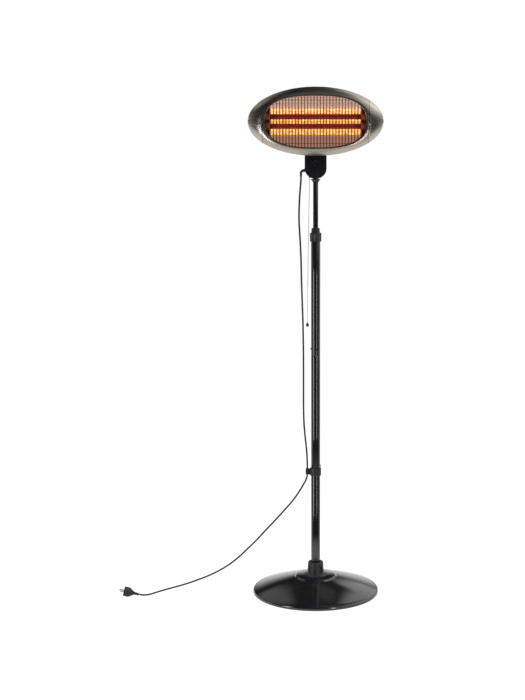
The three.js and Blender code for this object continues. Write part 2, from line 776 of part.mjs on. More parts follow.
// ---------------------------------------------------------------- twist clamp
// Heights here are counted from the top of the pole.
function clampBush() {
  const bore = INNER_TUBE_R + GAP;
  const body = revolve(
    [
      [bore, -CLAMP_PLUG_L],
      [TUBE_BORE_R - GAP - 1, -CLAMP_PLUG_L],
      [TUBE_BORE_R - GAP, 1 - CLAMP_PLUG_L],
      [TUBE_BORE_R - GAP, GAP],
      [TUBE_R, GAP],
      [TUBE_R, GAP + CLAMP_FLANGE_T],
      [COLLET_FOOT_R, GAP + CLAMP_FLANGE_T],
      [COLLET_TIP_R, GAP + CLAMP_FLANGE_T + COLLET_L],
      [bore, GAP + CLAMP_FLANGE_T + COLLET_L],
    ],
    14,
  );
  const top = GAP + CLAMP_FLANGE_T + COLLET_L;
  const height = [top - COLLET_SLOT_L, top + 1];
  const slotHalf = COLLET_SLOT_W / 2;
  const slots = [
    box([-NUT_R, NUT_R], [-slotHalf, slotHalf], height),
    box([-slotHalf, slotHalf], [-NUT_R, NUT_R], height),
  ];
  return cutBy(body, slots);
}

function clampNut() {
  const ribHalf = Math.PI / NUT_RIBS / 2;
  const ribOutline = stepsRound(NUT_RIBS).flatMap((angle) =>
    [
      [-ribHalf * 1.5, NUT_R - NUT_RIB_DEPTH],
      [-ribHalf * 0.7, NUT_R],
      [ribHalf * 0.7, NUT_R],
      [ribHalf * 1.5, NUT_R - NUT_RIB_DEPTH],
    ].map(([offset, r]) => [r * Math.cos(angle + offset), r * Math.sin(angle + offset)]),
  );
  const ribbed = prism(ribOutline, "z", -NUT_SKIRT, NUT_RIB_TOP);
  const cone = revolve(
    [
      [0, NUT_RIB_TOP - 2],
      [NUT_CONE_R + 2, NUT_RIB_TOP - 2],
      [NUT_CONE_R + 2, NUT_RIB_TOP + 1],
      [NUT_CONE_R, NUT_RIB_TOP + 3],
      [NUT_TIP_R, NUT_TOP - 1.5],
      [NUT_TIP_R - 1.5, NUT_TOP],
      [0, NUT_TOP],
    ],
    18,
  );
  const colletTop = GAP + CLAMP_FLANGE_T + COLLET_L;
  const flangeTop = GAP + CLAMP_FLANGE_T;
  const hollow = revolve(
    [
      [0, -NUT_SKIRT - 1],
      [TUBE_R + NUT_RUNNING_GAP, -NUT_SKIRT - 1],
      [TUBE_R + NUT_RUNNING_GAP, flangeTop + NUT_RUNNING_GAP],
      [COLLET_FOOT_R + NUT_RUNNING_GAP, flangeTop + NUT_RUNNING_GAP],
      [COLLET_TIP_R + NUT_RUNNING_GAP, colletTop + NUT_RUNNING_GAP],
      [INNER_TUBE_R + NUT_RUNNING_GAP, colletTop + NUT_RUNNING_GAP],
      [INNER_TUBE_R + NUT_RUNNING_GAP, NUT_TOP + 1],
      [0, NUT_TOP + 1],
    ],
    18,
  );
  return ribbed.add(cone).subtract(hollow);
}

const bush = piece(stand, "clamp_bush", clampBush(), "blackPlastic");
bush.position.z = POLE_TOP_Z;
piece(clamp, "clamp_nut", clampNut(), "blackPlastic");

// ---------------------------------------------------------------- cable clip
function cableClip() {
  const top = CLIP_Z + CLIP_H;
  const bandR = TUBE_R + GAP + CLIP_WALL;
  const band = rod([0, 0, CLIP_Z], [0, 0, top], bandR, 18);
  const jawZ = CLIP_Z + (CLIP_H - CLIP_JAW_H) / 2;
  const jaw = rod([CLIP_JAW_X, 0, jawZ], [CLIP_JAW_X, 0, jawZ + CLIP_JAW_H], CLIP_JAW_R, 12);
  const armOutline = [
    [CLIP_JAW_X, jawZ],
    [-TUBE_R - GAP, CLIP_Z],
    [-TUBE_R - GAP, top],
    [CLIP_JAW_X, jawZ + CLIP_JAW_H],
  ];
  const arm = prism(armOutline, "y", -CLIP_ARM_T / 2, CLIP_ARM_T / 2);
  const bore = rod([0, 0, CLIP_Z - 1], [0, 0, top + 1], TUBE_R + GAP, POLE_SIDES);
  const cordBore = rod([CLIP_JAW_X, 0, CLIP_Z - 1], [CLIP_JAW_X, 0, top + 1], CORD_R + 2.5 * GAP, 12);
  const split = box([-CLIP_SPLIT_W / 2, CLIP_SPLIT_W / 2], [0, 2 * bandR], [CLIP_Z - 1, top + 1]);
  const mouth = new THREE.BoxGeometry(2 * CLIP_JAW_R, CLIP_MOUTH_W, CLIP_H + 2);
  mouth.translate(-CLIP_JAW_R, 0, 0).rotateZ(THREE.MathUtils.degToRad(40));
  const mouthTool = solid(mouth.translate(CLIP_JAW_X, 0, CLIP_Z + CLIP_H / 2));
  return cutBy(joined([band, jaw, arm]), [bore, cordBore, split, mouthTool]);
}

piece(stand, "cable_clip", cableClip(), "blackPlastic");

// ---------------------------------------------------------------- mast: inner tube and housing
// Heights here are counted from the housing's lowest point.
const SLIDE_BOTTOM = INNER_TUBE_TOP - INNER_TUBE_L;

function innerTube() {
  return tube(INNER_TUBE_R, INNER_TUBE_R - INNER_TUBE_WALL, SLIDE_BOTTOM, INNER_TUBE_TOP, 0.5, 14);
}

function slideBush() {
  const outer = TUBE_BORE_R - GAP;
  return revolve(
    [
      [INNER_TUBE_R - INNER_TUBE_WALL, SLIDE_BOTTOM - GAP - SLIDE_BUSH_LIP],
      [outer - 1, SLIDE_BOTTOM - GAP - SLIDE_BUSH_LIP],
      [outer, SLIDE_BOTTOM - GAP - SLIDE_BUSH_LIP + 1],
      [outer, SLIDE_BOTTOM + SLIDE_BUSH_L],
      [INNER_TUBE_R + GAP, SLIDE_BOTTOM + SLIDE_BUSH_L],
      [INNER_TUBE_R + GAP, SLIDE_BOTTOM - GAP],
      [INNER_TUBE_R - INNER_TUBE_WALL, SLIDE_BOTTOM - GAP],
    ],
    14,
  );
}

function neckCollar() {
  return revolve(
    [
      [INNER_TUBE_R + GAP, -GAP - NECK_H],
      [NECK_TIP_R, -GAP - NECK_H],
      [NECK_TIP_R + 0.6, -GAP - NECK_H + 4],
      [NECK_TOP_R, -GAP - 4],
      [NECK_TOP_R, -GAP],
      [INNER_TUBE_R + GAP, -GAP],
    ],
    14,
  );
}

// The housing's front outline as (x, z), set in by `inset`.
function housingOutline(inset) {
  const w = HOUSING_W / 2 - inset;
  const top = HOUSING_TOP - inset;
  const corner = HOUSING_CORNER_R - inset;
  return [
    ...arc(w - corner, top - corner, corner, corner, 0, 90, 3),
    ...arc(corner - w, top - corner, corner, corner, 90, 180, 3),
    ...arc(0, HOUSING_BOWL, w, HOUSING_BOWL - inset, 180, 360, 12),
  ];
}

function housingHalves() {
  const body = prism(housingOutline(0), "y", HOUSING_FRONT_Y, HOUSING_BACK_Y, HOUSING_BEVEL);
  const cavityY = [HOUSING_FRONT_Y + HOUSING_WALL, HOUSING_BACK_Y - HOUSING_WALL];
  const cavity = prism(housingOutline(HOUSING_WALL), "y", ...cavityY);
  const backing = rod(
    [0, HOUSING_FRONT_Y + HOUSING_WALL - 0.5, RECESS_Z],
    [0, HOUSING_FRONT_Y + RECESS_DEPTH + RECESS_BACKING, RECESS_Z],
    RECESS_R + HOUSING_WALL,
    16,
  );
  const outside = [0, HOUSING_FRONT_Y - 1, RECESS_Z];
  const recess = rod(outside, [0, HOUSING_FRONT_Y + RECESS_DEPTH, RECESS_Z], RECESS_R, 20);
  const screwHole = rod(outside, [0, 0, RECESS_Z], COVER_SCREW_SHANK_R + SCREW_CLEARANCE, 10);
  const neckHole = rod([0, 0, -1], [0, 0, HOUSING_BOWL], INNER_TUBE_R + GAP, 20);
  const hingeHalf = HINGE_W / 2 + GAP;
  const hingeY = [PIVOT_Y - HINGE_R - GAP, PIVOT_Y + HINGE_R + GAP];
  const hingeHole = box([-hingeHalf, hingeHalf], hingeY, [HOUSING_TOP - 2 * HOUSING_WALL, HOUSING_TOP + 1]);
  const pullHole = rod([PULL_X, PULL_Y, -1], [PULL_X, PULL_Y, SWITCH_Z], EYELET_R + GAP, 12);
  const glandAt = (x) => [x, GLAND_Y, GLAND_Z];
  const glandHoleEnd = glandAt(-HOUSING_W / 2 + GLAND_NUT_SEAT);
  const glandHole = rod(glandAt(-HOUSING_W), glandHoleEnd, GLAND_NIPPLE_R + GAP, 14);
  const hollow = cavity.subtract(backing);
  const shell = cutBy(body, [hollow, recess, screwHole, neckHole, hingeHole, pullHole, glandHole]);
  const reachX = [-HOUSING_W, HOUSING_W];
  const reachZ = [-1, HOUSING_TOP + 1];
  return {
    front: shell.intersect(box(reachX, [HOUSING_FRONT_Y - 1, HOUSING_SPLIT_Y - GAP / 2], reachZ)),
    rear: shell.intersect(box(reachX, [HOUSING_SPLIT_Y + GAP / 2, HOUSING_BACK_Y + 1], reachZ)),
  };
}

// The steel block that stands on the inner tube and carries the head's pivot.
function hingeBlock() {
  const socket = rod([0, 0, SOCKET_Z], [0, 0, SOCKET_TOP], SOCKET_R, 16);
  const outline = [
    [PIVOT_Y - HINGE_R, SOCKET_TOP - 4],
    [PIVOT_Y + HINGE_R, SOCKET_TOP - 4],
    ...arc(PIVOT_Y, PIVOT_Z, HINGE_R, HINGE_R, 0, 180, 10),
  ];
  const block = prism(outline, "x", -HINGE_W / 2, HINGE_W / 2);
  const tubeBore = rod([0, 0, SOCKET_Z - 1], [0, 0, INNER_TUBE_TOP + GAP], INNER_TUBE_R + GAP, 16);
  const boltBore = rod([-HINGE_W, PIVOT_Y, PIVOT_Z], [HINGE_W, PIVOT_Y, PIVOT_Z], HINGE_BOLT_R + GAP, 14);
  const screwReach = HOUSING_FRONT_Y + RECESS_DEPTH + COVER_SCREW_SHANK_L + 1;
  const screwBoreR = COVER_SCREW_SHANK_R + SCREW_CLEARANCE;
  const screwBore = rod([0, -SOCKET_R - 1, RECESS_Z], [0, screwReach, RECESS_Z], screwBoreR, 10);
  return cutBy(socket.add(block), [tubeBore, boltBore, screwBore]);
}

const CAVITY_FRONT_Y = HOUSING_FRONT_Y + HOUSING_WALL + GAP;

function switchBody() {
  const body = box(
    [SWITCH_X, SWITCH_X + SWITCH_W],
    [CAVITY_FRONT_Y, CAVITY_FRONT_Y + SWITCH_DEPTH],
    [SWITCH_Z, SWITCH_Z + SWITCH_H],
  );
  const bore = rod(
    [PULL_X, PULL_Y, SWITCH_Z - 1],
    [PULL_X, PULL_Y, SLIDER_Z + SLIDER_L + SLIDER_RUNNING_GAP],
    SLIDER_R + SLIDER_RUNNING_GAP,
    12,
  );
  return body.subtract(bore);
}

function terminalBlock() {
  const x0 = RECESS_R + HOUSING_WALL + 2 * GAP;
  const body = box(
    [x0, x0 + TERMINAL_W],
    [CAVITY_FRONT_Y, CAVITY_FRONT_Y + TERMINAL_DEPTH],
    [TERMINAL_Z, TERMINAL_Z + TERMINAL_H],
  );
  const pitch = TERMINAL_H / TERMINAL_POLES;
  const wells = Array.from({ length: TERMINAL_POLES }, (_, i) => {
    const z = TERMINAL_Z + pitch * (i + 0.5);
    const back = CAVITY_FRONT_Y + TERMINAL_DEPTH;
    return rod([x0 + TERMINAL_W / 2, back - 5, z], [x0 + TERMINAL_W / 2, back + 1, z], pitch * 0.3, 10);
  });
  return cutBy(body, wells);
}

function eyelet() {
  return revolve(
    [
      [EYELET_BORE_R, EYELET_Z],
      [EYELET_R, EYELET_Z],
      [EYELET_R, EYELET_Z + EYELET_L - EYELET_FLANGE_T],
      [EYELET_FLANGE_R, EYELET_Z + EYELET_L - EYELET_FLANGE_T],
      [EYELET_FLANGE_R, EYELET_Z + EYELET_L],
      [EYELET_BORE_R, EYELET_Z + EYELET_L],
    ],
    10,
  );
}

// Flange, nipple and inside nut in one moulding, then the boot that turns the cord down.
function cordGland() {
  const wallX = -HOUSING_W / 2;
  const at = (x) => [x, GLAND_Y, GLAND_Z];
  const bootX = wallX - GAP - GLAND_FLANGE_T;
  const flange = rod(at(bootX), at(wallX - GAP), GLAND_FLANGE_R, 14);
  const nutX = wallX + GLAND_NUT_SEAT;
  const nipple = rod(at(bootX + 1), at(nutX + GLAND_FLANGE_T - 0.5), GLAND_NIPPLE_R, 12);
  const nut = rod(at(nutX), at(nutX + GLAND_FLANGE_T), GLAND_FLANGE_R, 6);
  const turns = [0, 0.25, 0.5, 0.75, 1].map((share) => {
    const angle = (share * Math.PI) / 2;
    return {
      x: bootX - BOOT_BEND_R * Math.sin(angle),
      z: GLAND_Z - BOOT_BEND_R * (1 - Math.cos(angle)),
      angle,
    };
  });
  turns.unshift({ x: bootX + 1, z: GLAND_Z, angle: 0 });
  turns.push({ x: bootX - BOOT_BEND_R, z: GLAND_Z - BOOT_BEND_R - BOOT_TAIL_L, angle: Math.PI / 2 });
  const rings = turns.map(({ x, z, angle }, i) => {
    const r = THREE.MathUtils.lerp(BOOT_ROOT_R, BOOT_TIP_R, i / (turns.length - 1));
    return stepsRound(10).map((t) => [
      x - r * Math.cos(t) * Math.sin(angle),
      GLAND_Y + r * Math.sin(t),
      z + r * Math.cos(t) * Math.cos(angle),
    ]);
  });
  return joined([flange, nipple, nut, loft(rings, false)]);
}

const halves = housingHalves();
piece(mast, "inner_tube", innerTube(), "glossBlack");
piece(mast, "slide_bush", slideBush(), "blackPlastic");
piece(mast, "neck_collar", neckCollar(), "blackPlastic");
piece(mast, "housing_front", halves.front, "satinBlack");
piece(mast, "housing_rear", halves.rear, "satinBlack");
const coverScrewShape = panScrew(
  COVER_SCREW_HEAD_R,
  COVER_SCREW_HEAD_H,
  COVER_SCREW_SHANK_R,
  COVER_SCREW_SHANK_L,
);
const coverScrew = piece(mast, "housing_screw", coverScrewShape, "satinBlack");
coverScrew.position.set(0, HOUSING_FRONT_Y + RECESS_DEPTH - GAP, RECESS_Z);
coverScrew.rotation.x = Math.PI / 2;
piece(mast, "hinge_block", hingeBlock(), "darkSteel");
piece(mast, "switch_body", switchBody(), "ceramic");
piece(mast, "terminal_block", terminalBlock(), "ceramic");
const eyeletMesh = piece(mast, "pull_cord_eyelet", eyelet(), "blackPlastic");
eyeletMesh.position.set(PULL_X, PULL_Y, 0);
piece(mast, "cord_gland", cordGland(), "rubber");

// ---------------------------------------------------------------- pull cord
function pullKnob() {
  return revolve(
    [
      [0, -16],
      [2.4, -15.6],
      [4.8, -13.4],
      [5.75, -10],
      [4.9, -6],
      [2.6, -2],
      [1.8, 0],
      [0, 0],
    ],
    10,
  );
}

const cordFoot = PULL_CORD_ROUTE.at(-1);
piece(heater, "pull_cord", cordAlong(PULL_CORD_ROUTE, PULL_CORD_R, 6), "cordGrey");
const pullKnobMesh = piece(heater, "pull_knob", pullKnob(), "blackPlastic");
pullKnobMesh.position.set(cordFoot[0], cordFoot[1], cordFoot[2] - GAP);
const slider = ring(SLIDER_R, 0, SLIDER_Z, SLIDER_Z + SLIDER_L, 12);
piece(mast, "switch_slider", slider, "ceramic").position.set(PULL_X, PULL_Y, 0);

// ---------------------------------------------------------------- head
// How far the face stands out at a share of the way from rim (0) to opening (1).
const crown = (share) => BEZEL_SKIRT + (BEZEL_DEPTH - BEZEL_SKIRT) * Math.sin((share * Math.PI) / 2);

// The whole domed face as one ring of sheet, from the rim over the crown into the turned-in lip.
function faceRing() {
  const shares = [0, 0.16, 0.48, 1];
  const rings = stepsRound(BEZEL_STEPS).map((angle) => {
    const rim = ovalPoint(HEAD_W / 2, HEAD_H / 2, 2, angle);
    const edge = ovalPoint(OPENING_W / 2, OPENING_H / 2, OPENING_POWER, angle);
    const rimInside = ovalPoint(HEAD_W / 2 - SHEET_T, HEAD_H / 2 - SHEET_T, 2, angle);
    const edgeHidden = ovalPoint(OPENING_W / 2 + SHEET_T, OPENING_H / 2 + SHEET_T, OPENING_POWER, angle);
    const outside = shares.map((share) => {
      const [x, z] = mix(rim, edge, share);
      return [x, -crown(share), z];
    });
    const lip = [edge, edgeHidden].map(([x, z]) => [x, -BEZEL_DEPTH + LIP_DEPTH, z]);
    const inside = shares.toReversed().map((share) => {
      const [x, z] = mix(rimInside, edgeHidden, share);
      return [x, -crown(share) + (share > 0 ? SHEET_T : 0), z];
    });
    const rimEdges = [rimInside, rim].map(([x, z]) => [x, 0, z]);
    return [...outside, ...lip, ...inside, ...rimEdges];
  });
  return loft(rings, true);
}

function capHalf(face, side) {
  const far = side * HEAD_W;
  const near = side * (CAP_SEAM_X + GAP / 2);
  const across = [near, far].sort((a, b) => a - b);
  return face.intersect(box(across, [-HEAD_W, HEAD_W], [-HEAD_W, HEAD_W]));
}

// Rear shell: a dish with an elliptical plan. Each step is [share of the half axes, depth].
const SHELL_PROFILE = [
  [0.95, 8],
  [0.84, 22],
  [0.7, 37],
  [0.57, 47],
  [0.5, 50],
];

function shellSolid(inset, front) {
  const halfW = HEAD_W / 2 - inset;
  const halfH = HEAD_H / 2 - inset;
  const depthScale = (SHELL_DEPTH - inset) / SHELL_PROFILE.at(-1)[1];
  const steps = SHELL_PROFILE.map(([share, depth]) => [share, depth * depthScale]);
  const profile = [[0, front], [1, front], ...steps, [0, SHELL_DEPTH - inset]];
  const dish = revolvedGeometry(profile, BEZEL_STEPS);
  return solid(dish.rotateX(-Math.PI / 2).scale(halfW, 1, halfH));
}

function rearShell() {
  const outside = shellSolid(0, GAP);
  const spigotInset = SHEET_T + GAP;
  const spigotReach = box([-HEAD_W, HEAD_W], [-SHELL_SPIGOT_L, 2], [-HEAD_W, HEAD_W]);
  const spigot = shellSolid(spigotInset, -SHELL_SPIGOT_L).intersect(spigotReach);
  const hollow = shellSolid(SHELL_WALL, GAP + SHELL_WALL);
  const mouthReach = box([-HEAD_W, HEAD_W], [-HEAD_W, GAP + 2 * SHELL_WALL], [-HEAD_W, HEAD_W]);
  const mouth = shellSolid(spigotInset + SHELL_WALL, -SHELL_SPIGOT_L - 1).intersect(mouthReach);
  const ventRow = (z, allowed) =>
    Array.from({ length: VENT_COUNT }, (_, i) => (i - (VENT_COUNT - 1) / 2) * VENT_PITCH)
      .filter(allowed)
      .map((x) =>
        box(
          [x - VENT_W / 2, x + VENT_W / 2],
          [SHELL_DEPTH / 2, SHELL_DEPTH + 1],
          [z - VENT_L / 2, z + VENT_L / 2],
        ),
      );
  const clearOfPlate = (x) => Math.abs(x) > PLATE_W / 2 + VENT_W;
  const vents = [...ventRow(VENT_Z, () => true), ...ventRow(-VENT_Z, clearOfPlate)];
  return cutBy(outside.subtract(hollow).add(spigot), [mouth, ...vents]);
}

function wireGuard() {
  const front = -BEZEL_DEPTH + LIP_DEPTH + GAP;
  const halfW = OPENING_W / 2 + GUARD_RING_INSET + GUARD_RING_T / 2;
  const halfH = OPENING_H / 2 + GUARD_RING_INSET + GUARD_RING_T / 2;
  const t = GUARD_RING_T / 2;
  const frame = loft(
    stepsRound(GUARD_RING_STEPS).map((angle) => {
      const outer = ovalPoint(halfW + t, halfH + t, OPENING_POWER, angle);
      const inner = ovalPoint(halfW - t, halfH - t, OPENING_POWER, angle);
      return [
        [outer[0], front, outer[1]],
        [inner[0], front, inner[1]],
        [inner[0], front + GUARD_RING_T, inner[1]],
        [outer[0], front + GUARD_RING_T, outer[1]],
      ];
    }),
    true,
  );
  const uprightY = [front + 0.4, front + 0.4 + WIRE_T];
  const uprights = Array.from({ length: WIRE_COUNT }, (_, i) => {
    const x = (i - (WIRE_COUNT - 1) / 2) * WIRE_PITCH;
    const reach = ovalHeight(halfW, halfH, OPENING_POWER, x);
    return box([x - WIRE_T / 2, x + WIRE_T / 2], uprightY, [-reach, reach]);
  });
  const rowY = [uprightY[1] - WIRE_WELD, uprightY[1] - WIRE_WELD + WIRE_T];
  const rows = GUARD_ROWS.map((z) => {
    const reach = ovalHeight(halfH, halfW, OPENING_POWER, z);
    return box([-reach, reach], rowY, [z - WIRE_T / 2, z + WIRE_T / 2]);
  });
  return joined([frame, ...rows, ...uprights]);
}

// The reflector's mirror side from its lower to its upper edge, as (y, z).
function mirrorLine() {
  const half = QUARTZ_SPACING / 2;
  const ridge = THREE.MathUtils.radToDeg(Math.asin(half / TROUGH_R));
  const outer = THREE.MathUtils.radToDeg(Math.asin(TROUGH_REACH / TROUGH_R));
  const upper = arc(QUARTZ_Y, half, TROUGH_R, TROUGH_R, -ridge, outer, 6);
  const lower = upper.slice(1).toReversed().map(([y, z]) => [y, -z]);
  const edge = OPENING_H / 2 + GUARD_RING_INSET;
  return [[REFLECTOR_EDGE_Y, -edge], ...lower, ...upper, [REFLECTOR_EDGE_Y, edge]];
}

function reflector() {
  const line = mirrorLine();
  const back = line.toReversed().map(([y, z]) => [y + REFLECTOR_T, z]);
  const reach = BRACKET_X - GAP;
  const trough = prism([...line, ...back], "x", -reach, reach);
  const halfW = OPENING_W / 2 - REFLECTOR_OVAL_INSET;
  const halfH = OPENING_H / 2 - REFLECTOR_OVAL_INSET;
  const oval = stepsRound(48).map((angle) => ovalPoint(halfW, halfH, OPENING_POWER, angle));
  return trough.intersect(prism(oval, "y", -BEZEL_DEPTH, SHELL_DEPTH));
}

// A plate across the head that holds one end of both quartz tubes and closes the reflector.
function endBracket(side) {
  const low = side < 0 ? -BRACKET_X - BRACKET_T : BRACKET_X;
  const outline = [
    [BRACKET_FRONT_Y, -BRACKET_HALF_H + 22],
    [BRACKET_FRONT_Y + 8, -BRACKET_HALF_H],
    [SHELL_DEPTH, -BRACKET_HALF_H],
    [SHELL_DEPTH, BRACKET_HALF_H],
    [BRACKET_FRONT_Y + 8, BRACKET_HALF_H],
    [BRACKET_FRONT_Y, BRACKET_HALF_H - 22],
  ];
  const plate = prism(outline, "x", low, low + BRACKET_T);
  const room = shellSolid(SHELL_WALL + GAP, -BEZEL_DEPTH);
  const holes = [-1, 1].map((row) => {
    const z = (row * QUARTZ_SPACING) / 2;
    return rod([low - 1, QUARTZ_Y, z], [low + BRACKET_T + 1, QUARTZ_Y, z], QUARTZ_R + GAP, 16);
  });
  return cutBy(plate.intersect(room), holes);
}

function alongX(shape) {
  return solid(shape.rotateY(Math.PI / 2));
}

function quartzTube() {
  const reach = BRACKET_X + BRACKET_T + QUARTZ_OVERHANG;
  const profile = [
    [QUARTZ_BORE_R, -reach],
    [QUARTZ_R, -reach],
    [QUARTZ_R, reach],
    [QUARTZ_BORE_R, reach],
  ];
  return alongX(revolvedGeometry(profile, QUARTZ_SIDES));
}

// Cup over one end of a quartz tube; its open side faces the bracket at x = 0.
function ceramicCap() {
  const cup = QUARTZ_OVERHANG;
  const profile = [
    [0, cup],
    [QUARTZ_R + GAP, cup],
    [QUARTZ_R + GAP, 0],
    [CERAMIC_R, 0],
    [CERAMIC_R, CERAMIC_L - 2],
    [CERAMIC_R - 2, CERAMIC_L],
    [0, CERAMIC_L],
  ];
  return alongX(revolvedGeometry(profile, QUARTZ_SIDES));
}

// The coil's centre line: a helix along x with short straight tails.
function coilPoints() {
  const perCurl = 8;
  const count = COIL_CURLS * perCurl;
  const turns = Array.from({ length: count + 1 }, (_, i) => {
    const angle = (2 * Math.PI * i) / perCurl;
    return [COIL_SPAN * (i / count - 0.5), COIL_R * Math.cos(angle), COIL_R * Math.sin(angle)];
  });
  const tailStart = [-COIL_SPAN / 2 - COIL_TAIL_L, COIL_R, 0];
  const tailEnd = [COIL_SPAN / 2 + COIL_TAIL_L, COIL_R, 0];
  return [tailStart, ...turns, tailEnd].map((point) => new THREE.Vector3(...point));
}

// One unbroken wire with five sides along the coil's centre line.
function heatingCoil(points) {
  const rings = points.map((point, i) => {
    const ahead = points[Math.min(i + 1, points.length - 1)];
    const behind = points[Math.max(i - 1, 0)];
    const along = ahead.clone().sub(behind).normalize();
    const outward = new THREE.Vector3(0, point.y, point.z).normalize();
    outward.addScaledVector(along, -outward.dot(along)).normalize();
    const across = along.clone().cross(outward);
    return stepsRound(5).map((t) =>
      point
        .clone()
        .addScaledVector(outward, COIL_WIRE_R * Math.cos(t))
        .addScaledVector(across, COIL_WIRE_R * Math.sin(t))
        .toArray(),
    );
  });
  return loft(rings, false);
}

// The least gap between turns of the wire, measured on points of its centre line.
function leastGap(points, wireR, skip) {
  let least = Infinity;
  for (let i = 0; i < points.length; i++) {
    for (let j = i + skip; j < points.length; j++) {
      least = Math.min(least, points[i].distanceTo(points[j]));
    }
  }
  return least - 2 * wireR;
}

function headBracket() {
  const y0 = SHELL_DEPTH + GAP;
  const plate = box([-PLATE_W / 2, PLATE_W / 2], [y0, y0 + PLATE_T], [PLATE_BOTTOM, PLATE_TOP]);
  const outline = [
    [y0, PLATE_TOP - 2],
    [y0, PLATE_BOTTOM - 6],
    ...arc(HEAD_PIVOT_Y, HEAD_PIVOT_Z, HINGE_R, HINGE_R, 180, 360, 8),
    [y0 + PLATE_T + 8, PLATE_BOTTOM],
    [y0 + PLATE_T + 2, PLATE_TOP - 2],
  ];
  const earX = HINGE_W / 2 + GAP;
  const ears = [prism(outline, "x", -earX - EAR_T, -earX), prism(outline, "x", earX, earX + EAR_T)];
  const reach = earX + 2 * EAR_T;
  const at = (x) => [x, HEAD_PIVOT_Y, HEAD_PIVOT_Z];
  return joined([plate, ...ears]).subtract(rod(at(-reach), at(reach), HINGE_BOLT_R + GAP, 14));
}

const EAR_OUTSIDE = HINGE_W / 2 + GAP + EAR_T + GAP;

function tiltBolt() {
  const at = (x) => [x, HEAD_PIVOT_Y, HEAD_PIVOT_Z];
  const boltHead = rod(at(-EAR_OUTSIDE - HINGE_BOLT_HEAD_L), at(-EAR_OUTSIDE), HINGE_BOLT_HEAD_R, 6);
  const shank = rod(at(-EAR_OUTSIDE - 1), at(EAR_OUTSIDE + KNOB_BORE_DEPTH - GAP), HINGE_BOLT_R, 14);
  return boltHead.add(shank);
}

// A lobed hand knob with a blind threaded bore, its hub against the ear.
function tiltKnob() {
  const lobes = stepsRound(KNOB_LOBES).flatMap((angle) => {
    const centre = KNOB_R - KNOB_LOBE_R;
    const degrees = THREE.MathUtils.radToDeg(angle);
    const span = 70;
    return arc(
      centre * Math.cos(angle),
      centre * Math.sin(angle),
      KNOB_LOBE_R,
      KNOB_LOBE_R,
      degrees - span,
      degrees + span,
      3,
    );
  });
  const outline = lobes.map(([u, v]) => [HEAD_PIVOT_Y + u, HEAD_PIVOT_Z + v]);
  const grip = prism(outline, "x", EAR_OUTSIDE + 5, EAR_OUTSIDE + KNOB_L, 1.5);
  const at = (x) => [x, HEAD_PIVOT_Y, HEAD_PIVOT_Z];
  const hub = rod(at(EAR_OUTSIDE), at(EAR_OUTSIDE + 7), HINGE_BOLT_HEAD_R, 14);
  const bore = rod(at(EAR_OUTSIDE - 1), at(EAR_OUTSIDE + KNOB_BORE_DEPTH), HINGE_BOLT_R + GAP, 14);
  return grip.add(hub).subtract(bore);
}

const face = faceRing();
const middle = box([GAP / 2 - CAP_SEAM_X, CAP_SEAM_X - GAP / 2], [-HEAD_W, HEAD_W], [-HEAD_W, HEAD_W]);
piece(head, "bezel", face.intersect(middle), "steel");
piece(head, "end_cap_left", capHalf(face, -1), "capSteel");
piece(head, "end_cap_right", capHalf(face, 1), "capSteel");
piece(head, "wire_guard", wireGuard(), "wire");
piece(head, "rear_shell", rearShell(), "shellGrey");
piece(head, "reflector", reflector(), "mirror");
piece(head, "end_bracket_left", endBracket(-1), "darkSteel");
piece(head, "end_bracket_right", endBracket(1), "darkSteel");
const coilLine = coilPoints();
console.log(`heating coil: least gap between turns ${leastGap(coilLine, COIL_WIRE_R, 5).toFixed(2)} mm`);
for (const [row, side] of [["upper", 1], ["lower", -1]]) {
  const z = (side * QUARTZ_SPACING) / 2;
  piece(head, `quartz_tube_${row}`, quartzTube(), "quartz").position.set(0, QUARTZ_Y, z);
  piece(head, `heating_coil_${row}`, heatingCoil(coilLine), "glow").position.set(0, QUARTZ_Y, z);
  for (const [end, way] of [["left", -1], ["right", 1]]) {
    const cap = piece(head, `ceramic_cap_${row}_${end}`, ceramicCap(), "ceramic");
    cap.position.set(way * (BRACKET_X + BRACKET_T + GAP), QUARTZ_Y, z);
    if (way < 0) cap.rotation.z = Math.PI;
  }
}
piece(head, "head_bracket", headBracket(), "darkSteel");
piece(head, "tilt_bolt", tiltBolt(), "zinc");
piece(head, "tilt_knob", tiltKnob(), "blackPlastic");

// ---------------------------------------------------------------- mains cord and plug
function mainsPlug() {
  const body = revolve(
    [
      [0, 0],
      [PLUG_BOOT_R - 0.5, 0],
      [PLUG_BOOT_R + 0.5, 18],
      [9, 24],
      [16.5, 34],
      [PLUG_R - 1, 40],
      [PLUG_R, 44],
      [PLUG_R, PLUG_BODY_L - 2],
      [PLUG_R - 2, PLUG_BODY_L],
      [0, PLUG_BODY_L],
    ],
    14,
  );
  const pins = [-1, 1].map((side) => {
    const x = (side * PIN_SPACING) / 2;
    return rod([x, 0, PLUG_BODY_L - 2], [x, 0, PLUG_BODY_L + PIN_L], PIN_R, 10);
  });
  const notches = [-1, 1].map((side) => {
    const y = [side * (PLUG_R - 3), side * (PLUG_R + 2)].sort((a, b) => a - b);
    return box([-4, 4], y, [PLUG_BODY_L - 14, PLUG_BODY_L + 1]);
  });
  return cutBy(joined([body, ...pins]), notches);
}

